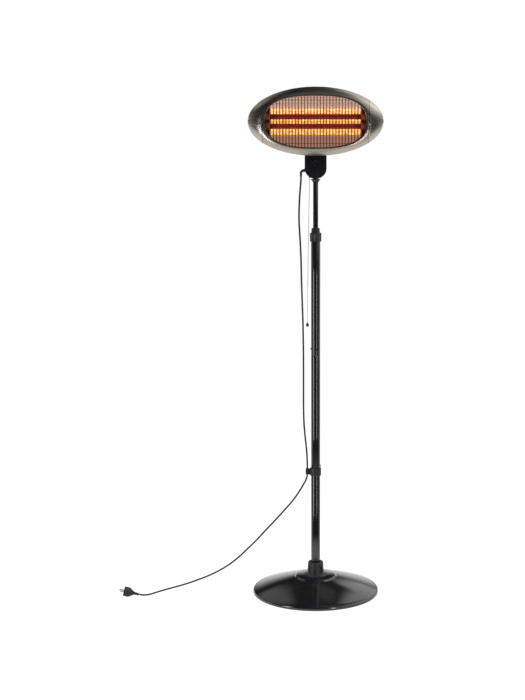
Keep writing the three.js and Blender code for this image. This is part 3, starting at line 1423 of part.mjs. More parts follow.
piece(stand, "mains_cord_upper", cordAlong(UPPER_CORD_ROUTE, CORD_R, UPPER_CORD_STEPS), "cordBlack");
piece(stand, "mains_cord_lower", cordAlong(LOWER_CORD_ROUTE, CORD_R, LOWER_CORD_STEPS), "cordBlack");
const plug = piece(stand, "mains_plug", mainsPlug(), "rubber");
const approach = LOWER_CORD_ROUTE.at(-2);
const heading = new THREE.Vector3(PLUG_POINT[0] - approach[0], PLUG_POINT[1] - approach[1], 0).normalize();
const rise = THREE.MathUtils.degToRad(PLUG_TILT);
const plugAxis = heading.clone().multiplyScalar(Math.cos(rise)).addScaledVector(UP, Math.sin(rise));
const plugSide = UP.clone().cross(heading).normalize();
plug.quaternion.setFromRotationMatrix(
  new THREE.Matrix4().makeBasis(plugSide, plugAxis.clone().cross(plugSide), plugAxis),
);
plug.position.set(...PLUG_POINT).addScaledVector(plugAxis, 2 * GAP);

for (const [name, points] of [["upper", UPPER_CORD_ROUTE], ["lower", LOWER_CORD_ROUTE]]) {
  console.log(`mains cord ${name}: ${routeCurve(points).getLength().toFixed(0)} mm`);
}

export default heater;
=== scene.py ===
"""Looks of the standing infrared heater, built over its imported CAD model.

Sizes are written in millimetres and times MM in metres; shader sizes are in metres.
"""

import math

import bmesh
import bpy
from mathutils import Matrix, Vector


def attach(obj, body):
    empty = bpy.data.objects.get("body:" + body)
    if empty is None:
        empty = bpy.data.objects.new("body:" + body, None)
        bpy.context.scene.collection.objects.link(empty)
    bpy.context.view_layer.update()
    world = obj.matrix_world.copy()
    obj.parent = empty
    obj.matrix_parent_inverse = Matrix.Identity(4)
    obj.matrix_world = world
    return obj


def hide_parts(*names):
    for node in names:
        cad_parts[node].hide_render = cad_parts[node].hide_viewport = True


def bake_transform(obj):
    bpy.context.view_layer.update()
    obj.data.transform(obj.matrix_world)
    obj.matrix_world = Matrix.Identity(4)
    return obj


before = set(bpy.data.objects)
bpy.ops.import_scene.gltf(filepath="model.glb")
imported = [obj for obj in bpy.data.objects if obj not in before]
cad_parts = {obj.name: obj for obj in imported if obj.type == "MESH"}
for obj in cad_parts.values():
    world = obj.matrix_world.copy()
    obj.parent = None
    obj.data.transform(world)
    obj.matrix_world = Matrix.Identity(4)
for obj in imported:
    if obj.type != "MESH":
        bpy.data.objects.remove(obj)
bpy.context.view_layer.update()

MM = 0.001
FULL_TURN = 2 * math.pi

# ---------------------------------------------------------------- sizes shared with the CAD model
TUBE_R = 18
INNER_TUBE_R = 10
TUBE_BOTTOM, TUBE_LENGTH, SEAM_GAP = 24.3, 464, 0.3
POLE_TOP = 1416.9
HOUSING_BOTTOM = 1628.5
PIVOT = Vector((0, 8, 1746)) * MM
REST_TILT = math.radians(6)
HEAD_FRAME = (
    Matrix.Translation(PIVOT)
    @ Matrix.Rotation(REST_TILT, 4, "X")
    @ Matrix.Translation(Vector((0, -62, 100)) * MM)
)
HALF_W, HALF_H = 252, 126
BEZEL_DEPTH, BEZEL_SKIRT, LIP_DEPTH, SHEET = 38, 6, 5, 1.6
OPENING_W, OPENING_H, OPENING_POWER = 378, 190, 2.6
CAP_SEAM_X = 198
SEAM_FLANGE, SEAM_BEND = 3, 1.3
WIRE_PITCH = 11.6
QUARTZ_SPACING, QUARTZ_Y = 34.8, -10
REFLECTOR_END, TROUGH_R = 168.7, 19
CLIP_X = -33
GLAND_Y, GLAND_Z = 14, 1660
RECESS_Z = 1683
MAST_BORE = 10.3
PULL_X, PULL_Y = -23, -7
REAR_SCREWS = ((-30, 1707), (30, 1707), (-24, 1652), (24, 1652))


def in_scene(name, data):
    """A new object in the scene."""
    made = bpy.data.objects.new(name, data)
    bpy.context.scene.collection.objects.link(made)
    return made


# ---------------------------------------------------------------- camera
def make_camera():
    data = bpy.data.cameras.new("camera")
    data.sensor_width = 36
    data.lens = 65.78
    data.shift_x = -0.0759
    data.shift_y = 0.0714
    data.clip_end = 60
    camera = in_scene("camera", data)
    camera.location = (0, -4.922, 1.645)
    camera.rotation_euler = (math.radians(80), 0, 0)
    bpy.context.scene.camera = camera


make_camera()


# ---------------------------------------------------------------- shader building
def node(tree, kind, inputs=None, **settings):
    """A new node with its settings, and its inputs given values or linked to outputs."""
    made = tree.nodes.new(kind)
    for name, value in settings.items():
        setattr(made, name, value)
    for socket, value in (inputs or {}).items():
        if isinstance(value, bpy.types.NodeSocket):
            tree.links.new(value, made.inputs[socket])
        else:
            made.inputs[socket].default_value = value
    return made


def calc(tree, operation, *values, **settings):
    """The result of a Math node."""
    return node(tree, "ShaderNodeMath", dict(enumerate(values)), operation=operation, **settings).outputs[0]


def scaled(tree, colour, share):
    """A colour made weaker or stronger by a share."""
    made = node(tree, "ShaderNodeVectorMath", {0: colour}, operation="SCALE")
    tree.links.new(share, made.inputs["Scale"])
    return made.outputs["Vector"]


def new_group(name, inputs, outputs):
    group = bpy.data.node_groups.new(name, "ShaderNodeTree")
    for socket, kind, value in inputs:
        made = group.interface.new_socket(socket, in_out="INPUT", socket_type=kind)
        made.default_value = value
    for socket, kind in outputs:
        group.interface.new_socket(socket, in_out="OUTPUT", socket_type=kind)
    return group, group.nodes.new("NodeGroupInput"), group.nodes.new("NodeGroupOutput")


FLOAT, COLOUR, VECTOR = "NodeSocketFloat", "NodeSocketColor", "NodeSocketVector"


def stretched_noise(group, given, detail):
    """Noise on the piece's own coordinates, drawn out by the group's Stretch."""
    place = node(group, "ShaderNodeTexCoord").outputs["Object"]
    drawn = node(group, "ShaderNodeMapping", {"Vector": place, "Scale": given.outputs["Stretch"]})
    inputs = {"Vector": drawn.outputs["Vector"], "Scale": given.outputs["Scale"]}
    return node(group, "ShaderNodeTexNoise", {**inputs, "Detail": detail, "Roughness": 0.6})


def make_tone_group():
    """Colour and roughness that drift a little over a surface."""
    group, given, result = new_group(
        "tone_drift",
        [
            ("Colour", COLOUR, (0.5, 0.5, 0.5, 1)),
            ("Drift", FLOAT, 0.15),
            ("Roughness", FLOAT, 0.4),
            ("Roughness Drift", FLOAT, 0.1),
            ("Scale", FLOAT, 12),
            ("Stretch", VECTOR, (1, 1, 1)),
        ],
        [("Colour", COLOUR), ("Roughness", FLOAT)],
    )
    noise = stretched_noise(group, given, 4)
    low = calc(group, "SUBTRACT", 1, given.outputs["Drift"])
    high = calc(group, "ADD", 1, given.outputs["Drift"])
    gain = node(
        group,
        "ShaderNodeMapRange",
        {"Value": noise.outputs["Fac"], 1: 0.3, 2: 0.7, 3: low, 4: high},
    )
    group.links.new(scaled(group, given.outputs["Colour"], gain.outputs["Result"]), result.inputs["Colour"])
    offset = calc(group, "SUBTRACT", noise.outputs["Fac"], 0.5)
    drift, roughness = given.outputs["Roughness Drift"], given.outputs["Roughness"]
    spread = calc(group, "MULTIPLY_ADD", offset, drift, roughness, use_clamp=True)
    group.links.new(spread, result.inputs["Roughness"])
    return group


def make_relief_group():
    """Height of a moulded, cast or brushed skin."""
    group, given, result = new_group(
        "skin_relief",
        [("Scale", FLOAT, 400), ("Stretch", VECTOR, (1, 1, 1)), ("Speckle", FLOAT, 0.3)],
        [("Height", FLOAT)],
    )
    noise = stretched_noise(group, given, 3)
    fine = calc(group, "MULTIPLY", given.outputs["Scale"], 3.1)
    place = node(group, "ShaderNodeTexCoord").outputs["Object"]
    drawn = node(group, "ShaderNodeMapping", {"Vector": place, "Scale": given.outputs["Stretch"]})
    dots = node(group, "ShaderNodeTexVoronoi", {"Vector": drawn.outputs["Vector"], "Scale": fine})
    speckle = given.outputs["Speckle"]
    both = calc(group, "MULTIPLY_ADD", dots.outputs["Distance"], speckle, noise.outputs["Fac"])
    group.links.new(both, result.inputs["Height"])
    return group


def make_dust_group():
    """Dust that settles on what faces up, in uneven patches."""
    group, given, result = new_group(
        "settled_dust",
        [
            ("Colour", COLOUR, (0.5, 0.5, 0.5, 1)),
            ("Roughness", FLOAT, 0.4),
            ("Dust Colour", COLOUR, (0.42, 0.4, 0.37, 1)),
            ("Amount", FLOAT, 0.1),
            ("Scale", FLOAT, 30),
            ("Stretch", VECTOR, (1, 1, 1)),
        ],
        [("Colour", COLOUR), ("Roughness", FLOAT)],
    )
    noise = stretched_noise(group, given, 8)
    fac = noise.outputs["Fac"]
    patches = node(group, "ShaderNodeMapRange", {"Value": fac, 1: 0.35, 2: 0.75, 3: 0.25, 4: 1})
    normal = node(group, "ShaderNodeNewGeometry").outputs["Normal"]
    facing = node(group, "ShaderNodeSeparateXYZ", {0: normal})
    upward = node(group, "ShaderNodeMapRange", {"Value": facing.outputs["Z"], 1: 0.3, 2: 1, 3: 0, 4: 1})
    lying = calc(group, "MULTIPLY", patches.outputs[0], upward.outputs[0])
    mask = calc(group, "MULTIPLY", lying, given.outputs["Amount"])
    mixed = node(group, "ShaderNodeMix", data_type="RGBA")
    group.links.new(mask, mixed.inputs[0])
    group.links.new(given.outputs["Colour"], mixed.inputs[6])
    group.links.new(given.outputs["Dust Colour"], mixed.inputs[7])
    group.links.new(mixed.outputs[2], result.inputs["Colour"])
    rougher = calc(group, "MULTIPLY_ADD", mask, 0.5, given.outputs["Roughness"], use_clamp=True)
    group.links.new(rougher, result.inputs["Roughness"])
    return group


BUMP_DEPTH = 0.0004
TONE = make_tone_group()
RELIEF = make_relief_group()
DUST = make_dust_group()


def placed_group(tree, group, inputs):
    return node(tree, "ShaderNodeGroup", inputs, node_tree=group)


def finish(
    name,
    colour,
    roughness,
    metallic=0.0,
    drift=0.12,
    roughness_drift=0.1,
    scale=14,
    stretch=(1, 1, 1),
    relief_scale=500,
    relief_stretch=(1, 1, 1),
    relief=0.1,
    speckle=0.3,
    dust=0.0,
    **sockets,
):
    """A material whose colour and roughness drift, with a fine relief and, where asked, settled dust."""
    material = bpy.data.materials.new(name)
    material.use_nodes = True
    tree = material.node_tree
    shader = tree.nodes["Principled BSDF"]
    shader.inputs["Metallic"].default_value = metallic
    for socket, value in sockets.items():
        shader.inputs[socket.replace("_", " ")].default_value = value
    tone = placed_group(
        tree,
        TONE,
        {
            "Colour": (*colour, 1),
            "Drift": drift,
            "Roughness": roughness,
            "Roughness Drift": roughness_drift,
            "Scale": scale,
            "Stretch": stretch,
        },
    )
    top = tone
    if dust:
        top = placed_group(
            tree,
            DUST,
            {"Colour": tone.outputs["Colour"], "Roughness": tone.outputs["Roughness"], "Amount": dust},
        )
    tree.links.new(top.outputs["Colour"], shader.inputs["Base Color"])
    tree.links.new(top.outputs["Roughness"], shader.inputs["Roughness"])
    skin = placed_group(tree, RELIEF, {"Scale": relief_scale, "Stretch": relief_stretch, "Speckle": speckle})
    height = skin.outputs["Height"]
    bump = node(tree, "ShaderNodeBump", {"Strength": relief, "Distance": BUMP_DEPTH, "Height": height})
    tree.links.new(bump.outputs["Normal"], shader.inputs["Normal"])
    return material


def span(tree, value, low, high, out_low=0.0, out_high=1.0):
    """Smooth step of a value from one level to another."""
    made = node(tree, "ShaderNodeMapRange", interpolation_type="SMOOTHSTEP")
    tree.links.new(value, made.inputs["Value"])
    for socket, number in ((1, low), (2, high), (3, out_low), (4, out_high)):
        made.inputs[socket].default_value = number
    return made.outputs["Result"]


def folded(tree, operation, values):
    total = values[0]
    for value in values[1:]:
        total = calc(tree, operation, total, value)
    return total


def times(tree, *values):
    return folded(tree, "MULTIPLY", values)


def add(tree, *values):
    return folded(tree, "ADD", values)


GLOSS_BLACK = finish(
    "gloss_black_enamel", (0.006, 0.006, 0.007), 0.12, drift=0.2, roughness_drift=0.06, scale=9,
    relief_scale=90, relief=0.05, speckle=0.1, Specular_IOR_Level=0.75,
)
BASE_BLACK = finish(
    "gloss_black_base", (0.006, 0.006, 0.007), 0.1, drift=0.2, roughness_drift=0.08, scale=7,
    relief_scale=60, relief=0.06, speckle=0.1, dust=0.008, Specular_IOR_Level=0.8,
)
MOULDED_BLACK = finish(
    "moulded_black", (0.011, 0.011, 0.013), 0.42, drift=0.18, roughness_drift=0.16, scale=30,
    relief_scale=900, relief=0.3, speckle=0.5, dust=0.03, Specular_IOR_Level=0.4,
)
HOUSING_BLACK = finish(
    "housing_black", (0.005, 0.005, 0.007), 0.36, drift=0.15, roughness_drift=0.14, scale=24,
    relief_scale=1100, relief=0.35, speckle=0.6, dust=0.01, Specular_IOR_Level=0.28,
)
CAST_BLACK = finish(
    "cast_black", (0.014, 0.014, 0.015), 0.5, metallic=0.4, drift=0.2, roughness_drift=0.2, scale=40,
    relief_scale=600, relief=0.5, speckle=0.8,
)
BLACK_STEEL = finish(
    "black_steel", (0.02, 0.02, 0.021), 0.38, metallic=0.7, drift=0.2, roughness_drift=0.2, scale=60,
    relief_scale=700, relief=0.2,
)
RUBBER = finish(
    "matte_rubber", (0.013, 0.013, 0.013), 0.78, drift=0.2, roughness_drift=0.15, scale=40,
    relief_scale=800, relief=0.4, speckle=0.7, dust=0.05,
)
CORD_SHEATH = finish(
    "cord_sheath", (0.012, 0.012, 0.013), 0.55, drift=0.2, roughness_drift=0.2, scale=25,
    relief_scale=900, relief=0.3, speckle=0.4, dust=0.04,
)
BRAID = finish(
    "grey_braid", (0.2, 0.2, 0.2), 0.8, drift=0.35, roughness_drift=0.1, scale=1400,
    relief_scale=1800, relief=0.8, speckle=1.0,
)
CEMENT = finish(
    "cast_cement", (0.33, 0.32, 0.3), 0.92, drift=0.25, roughness_drift=0.1, scale=35,
    relief_scale=180, relief=1.0, speckle=1.0,
)
ZINC = finish(
    "zinc_plate", (0.5, 0.5, 0.5), 0.33, metallic=1, drift=0.12, roughness_drift=0.15, scale=80,
    relief_scale=600, relief=0.15,
)
ALUMINIUM = finish(
    "turned_aluminium", (0.6, 0.6, 0.61), 0.35, metallic=1, drift=0.08, roughness_drift=0.1, scale=60,
    relief_scale=400, relief_stretch=(1, 1, 8), relief=0.2,
)
BRUSHED = finish(
    "brushed_stainless", (0.4, 0.355, 0.305), 0.3, metallic=1, drift=0.1, roughness_drift=0.16, scale=40,
    stretch=(0.12, 1, 5), relief_scale=240, relief_stretch=(0.05, 1, 4), relief=0.35, speckle=0.1,
)
CAP_BRUSHED = finish(
    "brushed_stainless_caps", (0.46, 0.42, 0.375), 0.28, metallic=1, drift=0.12, roughness_drift=0.16,
    scale=40, stretch=(0.12, 1, 5), relief_scale=240, relief_stretch=(0.05, 1, 4), relief=0.35, speckle=0.1,
)
SHELL_PAINT = finish(
    "heatproof_grey", (0.02, 0.02, 0.021), 0.5, metallic=0.2, drift=0.18, roughness_drift=0.18, scale=26,
    relief_scale=500, relief=0.4, speckle=0.8, dust=0.03,
)
GUARD_WIRE = finish(
    "heat_browned_wire", (0.15, 0.085, 0.06), 0.34, metallic=1, drift=0.15, roughness_drift=0.15, scale=120,
    relief_scale=500, relief=0.1,
)
THERMOSET = finish(
    "white_moulding", (0.7, 0.68, 0.62), 0.45, drift=0.08, roughness_drift=0.1, scale=60,
    relief_scale=700, relief=0.2,
)
BRASS = finish(
    "plated_pins", (0.62, 0.6, 0.55), 0.28, metallic=1, drift=0.1, roughness_drift=0.12, scale=90,
    relief_scale=500, relief=0.1,
)


# ---------------------------------------------------------------- hot finishes and painted glow
def head_place(tree):
    """The piece's coordinates in the head's own frame: x across, z up along the face."""
    place = node(tree, "ShaderNodeTexCoord").outputs["Object"]
    centre = HEAD_FRAME @ Vector((0, 0, 0))
    mapping = node(
        tree,
        "ShaderNodeMapping",
        {"Vector": place, "Location": centre, "Rotation": (REST_TILT, 0, 0)},
        vector_type="TEXTURE",
    )
    return node(tree, "ShaderNodeSeparateXYZ", {0: mapping.outputs["Vector"]}).outputs


def band(tree, z, low, high, soft=0.003):
    """1 between two heights on the face, falling off softly outside them."""
    rise = span(tree, z, low - soft, low + soft)
    fall = span(tree, z, high - soft, high + soft, 1.0, 0.0)
    return times(tree, rise, fall)


def glowing(material, colour):
    """Lets a material give off the light of an output."""
    tree = material.node_tree
    shader = tree.nodes["Principled BSDF"]
    tree.links.new(colour, shader.inputs["Emission Color"])
    shader.inputs["Emission Strength"].default_value = 1.0
    return material


# The painted glow bands on the reflector, standing in for the tubes' light mirrored in it: low and high edge
# on the face and softness, in metres.
PAINTED_GLOW_BANDS = ((0.026, 0.052, 0.004), (-0.009, 0.009, 0.003), (-0.052, -0.026, 0.003))


def make_reflector_painted_glow():
    """Polished sheet with the hot tubes' light painted on as glow: bright painted bands beside them, a rosy
    painted glow further off, and painted shade in stripes from the guard's wires.
    """
    material = finish(
        "polished_reflector_painted_glow", (0.45, 0.36, 0.31), 0.22, metallic=1, drift=0.12, roughness_drift=0.12, scale=60,
        stretch=(6, 1, 1), relief_scale=120, relief_stretch=(2, 1, 1), relief=0.3,
    )
    tree = material.node_tree
    x, _, z = head_place(tree)
    ends = span(tree, calc(tree, "ABSOLUTE", x), 0.158, 0.18, 1.0, 0.6)
    painted_band_glow = add(tree, *[band(tree, z, *edges) for edges in PAINTED_GLOW_BANDS])
    ripple = node(
        tree,
        "ShaderNodeTexNoise",
        {"Vector": node(tree, "ShaderNodeTexCoord").outputs["Object"], "Scale": 90, "Detail": 2},
    )
    fac = ripple.outputs["Fac"]
    flicker = node(tree, "ShaderNodeMapRange", {"Value": fac, 1: 0.3, 2: 0.7, 3: 0.55, 4: 1.2})
    # Painted shade of the guard's wires: the painted glow dims in stripes where the wires stand before it.
    turns = calc(tree, "MULTIPLY", x, FULL_TURN / (WIRE_PITCH * MM))
    wave = calc(tree, "COSINE", turns)
    painted_wire_shade = span(tree, wave, -0.7, 0.35, 0.5, 1.0)
    glow = times(tree, painted_band_glow, ends, flicker.outputs[0], painted_wire_shade)
    painted_rosy_glow = times(tree, ends, painted_wire_shade, span(tree, painted_band_glow, 0.0, 1.0, 1.0, 0.5))
    ramp = node(tree, "ShaderNodeValToRGB", {"Fac": glow})
    stops = ramp.color_ramp.elements
    stops[0].position, stops[0].color = 0.0, (0.0, 0.0, 0.0, 1)
    stops[1].position, stops[1].color = 1.0, (1.0, 0.66, 0.14, 1)
    for position, colour in ((0.3, (0.3, 0.03, 0.004, 1)), (0.65, (0.8, 0.3, 0.03, 1))):
        made = stops.new(position)
        made.color = colour
    rose = scaled(tree, (0.34, 0.145, 0.095), painted_rosy_glow)
    total = node(tree, "ShaderNodeVectorMath", {0: ramp.outputs["Color"], 1: rose}, operation="ADD")
    # The painted glow is kept to the faces turned to the front.
    normal = node(tree, "ShaderNodeTexCoord").outputs["Normal"]
    facing_y = node(tree, "ShaderNodeSeparateXYZ", {0: normal}).outputs[1]
    front_only = span(tree, facing_y, -0.1, 0.1, 1.0, 0.0)
    return glowing(material, scaled(tree, total.outputs["Vector"], front_only))


def glow_along(material, glow, near, far, least):
    """Lets a material glow in the middle of the tube and fade towards its ends."""
    tree = material.node_tree
    x = head_place(tree)[0]
    heat = span(tree, calc(tree, "ABSOLUTE", x), near, far, 1.0, least)
    return glowing(material, scaled(tree, glow, heat))


def make_coil_finish():
    """Resistance wire glowing brighter in the middle of the tube than at its ends."""
    material = finish(
        "hot_wire", (0.25, 0.03, 0.01), 0.5, drift=0.2, roughness_drift=0.1, scale=200, relief=0.1
    )
    return glow_along(material, (0.36, 0.02, 0.012), 0.135, 0.168, 0.15)


def make_quartz_finish():
    """Ruby-tinted quartz: clear enough to show the wire, glowing dully itself."""
    material = finish(
        "ruby_quartz", (0.3, 0.03, 0.03), 0.12, drift=0.1, roughness_drift=0.05, scale=40,
        relief_scale=200, relief=0.05, Transmission_Weight=0.75, IOR=1.46,
    )
    return glow_along(material, (0.04, 0.002, 0.0015), 0.13, 0.165, 0.05)


def make_painted_glow_finish(name, colour, roughness, glow, **looks):
    """A plain finish with a painted glow in its emission, standing in for the light of the hot tubes beside
    it.
    """
    material = finish(name, colour, roughness, **looks)
    shader = material.node_tree.nodes["Principled BSDF"]
    shader.inputs["Emission Color"].default_value = (*glow, 1)
    shader.inputs["Emission Strength"].default_value = 1.0
    return material


# Painted glow: the ceramic caps and the end brackets give off light in place of the tubes' light falling on
# them.
CERAMIC_PAINTED_GLOW = make_painted_glow_finish(
    "heat_browned_ceramic_painted_glow", (0.1, 0.03, 0.02), 0.5, (0.1, 0.009, 0.006), drift=0.3, scale=90
)
STEEL_PAINTED_GLOW = make_painted_glow_finish(
    "heated_black_steel_painted_glow", (0.03, 0.02, 0.02), 0.45, (0.2, 0.055, 0.03), drift=0.3, scale=70
)
REFLECTOR_PAINTED_GLOW = make_reflector_painted_glow()
HOT_WIRE = make_coil_finish()
RUBY_QUARTZ = make_quartz_finish()


# ---------------------------------------------------------------- mesh helpers
def outward(bm):
    """Turns every face of a closed shape outwards, after its points have moved."""
    bm.normal_update()
    bmesh.ops.recalc_face_normals(bm, faces=bm.faces)
    bm.normal_update()
    return bm


def turned_to(point, angle, axis):
    """The place at a point in millimetres, turned round an axis."""
    return Matrix.Translation(Vector(point) * MM) @ Matrix.Rotation(angle, 4, axis)


def moved(bm, place):
    """The shape put in its place, facing outwards there."""
    bm.transform(place)
    return outward(bm)


def turned(profile, steps):
    """A bmesh spun round Z from (radius, height) points: closed on itself, or ending on the axis."""
    bm = bmesh.new()
    verts = [bm.verts.new((r * MM, 0, z * MM)) for r, z in profile]
    edges = [bm.edges.new(pair) for pair in zip(verts, verts[1:])]
    if profile[0][0] > 0:
        edges.append(bm.edges.new((verts[-1], verts[0])))
    bmesh.ops.spin(
        bm, geom=verts + edges, cent=(0, 0, 0), axis=(0, 0, 1), angle=FULL_TURN, steps=steps, use_merge=True
    )
    bmesh.ops.remove_doubles(bm, verts=bm.verts, dist=1e-6)
    return outward(bm)


def rounded(bm, edges, width, segments):
    """Rounds the edges given."""
    bmesh.ops.bevel(
        bm, geom=edges, offset=width * MM, offset_type="OFFSET", affect="EDGES", segments=segments,
        profile=0.5, material=-1, clamp_overlap=True,
    )
    return bm


def soften(bm, width, segments=2, angle=30):
    """Rounds every edge sharper than an angle."""
    bm.normal_update()
    sharp = [e for e in bm.edges if len(e.link_faces) == 2 and e.calc_face_angle(0) > math.radians(angle)]
    return rounded(bm, sharp, width, segments)


def new_verts(grown):
    """The points among what an extrusion made."""
    return [item for item in grown if isinstance(item, bmesh.types.BMVert)]


def pull_in(v, depth):
    """Moves a point towards the Z axis."""
    r = math.hypot(v.co.x, v.co.y)
    v.co.x *= 1 - depth / r
    v.co.y *= 1 - depth / r


def split_at(bm, point, way, clear_outer=False):
    """Cuts a shape's faces along a plane, and where asked drops what lies beyond it."""
    everything = bm.verts[:] + bm.edges[:] + bm.faces[:]
    bmesh.ops.bisect_plane(bm, geom=everything, plane_co=point, plane_no=way, clear_outer=clear_outer)


PLAIN_SHARP = 38  # degrees past which an edge is shaded sharp
SIDEWAYS = Matrix(((0, 1, 0, 0), (1, 0, 0, 0), (0, 0, 1, 0), (0, 0, 0, 1)))


def slab(outline, low, high):
    """An outline of (x, z) points pushed along Y between two depths."""
    bm = bmesh.new()
    face = bm.faces.new([bm.verts.new((x * MM, low * MM, z * MM)) for x, z in outline])
    grown = bmesh.ops.extrude_face_region(bm, geom=[face])["geom"]
    bmesh.ops.translate(bm, verts=new_verts(grown), vec=(0, (high - low) * MM, 0))
    return outward(bm)


def arc(cx, cz, rx, rz, start, end, steps):
    angles = [math.radians(start + (end - start) * i / steps) for i in range(steps + 1)]
    return [(cx + rx * math.cos(a), cz + rz * math.sin(a)) for a in angles]


def rod(start, end, radius, segments=24):
    """A round bar between two points in millimetres."""
    bm = bmesh.new()
    a, b = Vector(start) * MM, Vector(end) * MM
    bmesh.ops.create_cone(
        bm, cap_ends=True, segments=segments, radius1=radius * MM, radius2=radius * MM, depth=(b - a).length
    )
    turn = (b - a).to_track_quat("Z", "Y").to_matrix().to_4x4()
    return moved(bm, Matrix.Translation((a + b) / 2) @ turn)


def block(low, high):
    bm = bmesh.new()
    bmesh.ops.create_cube(bm, size=1)
    low, high = Vector(low) * MM, Vector(high) * MM
    bmesh.ops.scale(bm, verts=bm.verts, vec=high - low)
    bmesh.ops.translate(bm, verts=bm.verts, vec=(low + high) / 2)
    return outward(bm)


def joined(*parts):
    """One bmesh that holds several, which are used up."""
    whole = bmesh.new()
    for part in parts:
        mesh = bpy.data.meshes.new("part")
        part.to_mesh(mesh)
        part.free()
        whole.from_mesh(mesh)
        bpy.data.meshes.remove(mesh)
    return whole


def smoothed(mesh, sharp):
    """Smooth shading that stops at edges sharper than an angle."""
    for polygon in mesh.polygons:
        polygon.use_smooth = True
    mesh.set_sharp_from_angle(angle=math.radians(sharp))
    return mesh


def mesh_object(name, bm, sharp=PLAIN_SHARP):
    mesh = bpy.data.meshes.new(name)
    bm.to_mesh(mesh)
    bm.free()
    return in_scene(name, smoothed(mesh, sharp))


def mesh_of(made):
    """An object's mesh with its modifiers or bevel worked in."""
    bpy.context.view_layer.update()
    return bpy.data.meshes.new_from_object(made.evaluated_get(bpy.context.evaluated_depsgraph_get()))


def add_wall(piece, thickness):
    """Gives a skin its thickness, inwards."""
    wall = piece.modifiers.new("wall", "SOLIDIFY")
    wall.thickness, wall.offset = thickness * MM, -1


def carved(piece, cutter, operation="DIFFERENCE"):
    """The piece cut by, or cut down to, another shape, with the result kept in its mesh."""
    tool = mesh_object("cutter", cutter)
    modifier = piece.modifiers.new("cut", "BOOLEAN")
    modifier.object, modifier.operation, modifier.solver = tool, operation, "EXACT"
    shaped = mesh_of(piece)
    piece.modifiers.clear()
    piece.data = smoothed(shaped, PLAIN_SHARP)
    bpy.data.objects.remove(tool)
    return piece


def settle(piece, body, slot, material, *nodes):
    """Gives a finished piece its finish, makes it ride on a body and stand for CAD nodes. Its slot is not
    used.
    """
    piece.data.materials.clear()
    piece.data.materials.append(material)
    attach(piece, body)
    if nodes:
        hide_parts(*nodes)
    return piece


def swept(name, points, radius, sides=12, resolution=6, radii=None):
    """A round bar along a smooth line, as a mesh, and the line's own points in metres."""
    curve = bpy.data.curves.new(name, "CURVE")
    curve.dimensions = "3D"
    curve.bevel_depth = radius * MM
    curve.bevel_resolution = (sides - 4) // 2
    curve.use_fill_caps = True
    curve.resolution_u = resolution
    spline = curve.splines.new("BEZIER")
    spline.bezier_points.add(len(points) - 1)
    for i, (knot, point) in enumerate(zip(spline.bezier_points, points)):
        knot.co = Vector(point) * MM
        knot.handle_left_type = knot.handle_right_type = "AUTO"
        knot.radius = radii[i] if radii else 1
    line = in_scene(name, curve)
    mesh = mesh_of(line)
    curve.bevel_depth = 0
    bpy.context.view_layer.update()
    thin = line.evaluated_get(bpy.context.evaluated_depsgraph_get()).to_mesh()
    path = [tuple(v.co) for v in thin.vertices]
    bpy.data.objects.remove(line)
    closed = bmesh.new()
    closed.from_mesh(mesh)
    bmesh.ops.remove_doubles(closed, verts=closed.verts, dist=1e-7)
    outward(closed).to_mesh(mesh)
    closed.free()
    mesh.name = name
    return in_scene(name, smoothed(mesh, 50)), path


# ---------------------------------------------------------------- cords
UPPER_CORD_ROUTE = [
    (-55.8, 14, 1635.7), (-56, 14, 1624), (-57.5, 13.5, 1605), (-60, 12.5, 1575), (-62, 11, 1540),
    (-63.5, 9, 1500), (-63.3, 8, 1465), (-61, 7, 1425), (-58.5, 6, 1380), (-56, 5, 1320), (-54.5, 4, 1246),
    (-52, 3, 1169), (-49.5, 2, 1091), (-48, 1.5, 1013), (-47.3, 1, 935), (-47.3, 0.5, 817), (-47.2, 0, 740),
    (-46, 0, 694), (-43.4, 0, 655), (-39.6, 0, 616), (-36, 0, 580), (-33.7, 0, 548), (-33, 0, 524),
    (-33, 0, 506.6),
]
LOWER_CORD_ROUTE = [
    (-33, 0, 506.3), (-33, 0, 492), (-33, 0, 477), (-37, -0.5, 460), (-46.8, -1.8, 441), (-63, -3.5, 414),
    (-89, -6, 376), (-123, -9, 337), (-159, -13, 297), (-197, -16.5, 257), (-235, -20, 216),
    (-273, -24, 179), (-311, -28, 144), (-356, -32, 111), (-411, -38, 82), (-470, -43.5, 59),
    (-520, -49, 43), (-574, -54, 29), (-612, -58, 19), (-640, -61, 11), (-656, -62.5, 6.6), (-670, -64, 4.4),
    (-686, -65.6, 4.8), (-700, -67, 7.6),
]
PULL_CORD_ROUTE = [
    (-23, -7, 1654.2), (-23, -7, 1632.5), (-27, -7, 1433), (-30, -7, 1240), (-32, -7, 1081.6),
]


def make_cords():
    upper, upper_path = swept("mains_cord_upper_sheath", UPPER_CORD_ROUTE, 3.5, sides=16, resolution=10)
    upper.data.materials.clear()
    upper.data.materials.append(CORD_SHEATH)
    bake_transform(upper)
    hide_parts("mains_cord_upper")
    lower, lower_path = swept("mains_cord_lower_sheath", LOWER_CORD_ROUTE, 3.5, sides=16, resolution=10)
    settle(lower, "stand", "cord_rubber", CORD_SHEATH, "mains_cord_lower")
    pull, pull_path = swept("pull_cord_braid", PULL_CORD_ROUTE, 1, sides=8, resolution=12)
    settle(pull, "pull", "braid", BRAID, "pull_cord")
    return lower, lower_path, pull, pull_path


lower_cord, lower_path, pull_cord, pull_path = make_cords()


# ---------------------------------------------------------------- base
def curve_points(start, control, end, steps):
    """Points on a parabola arc after its start."""
    found = []
    for i in range(1, steps + 1):
        t = i / steps
        pairs = zip(start, control, end)
        found.append(tuple((1 - t) ** 2 * a + 2 * t * (1 - t) * c + t * t * b for a, c, b in pairs))
    return found


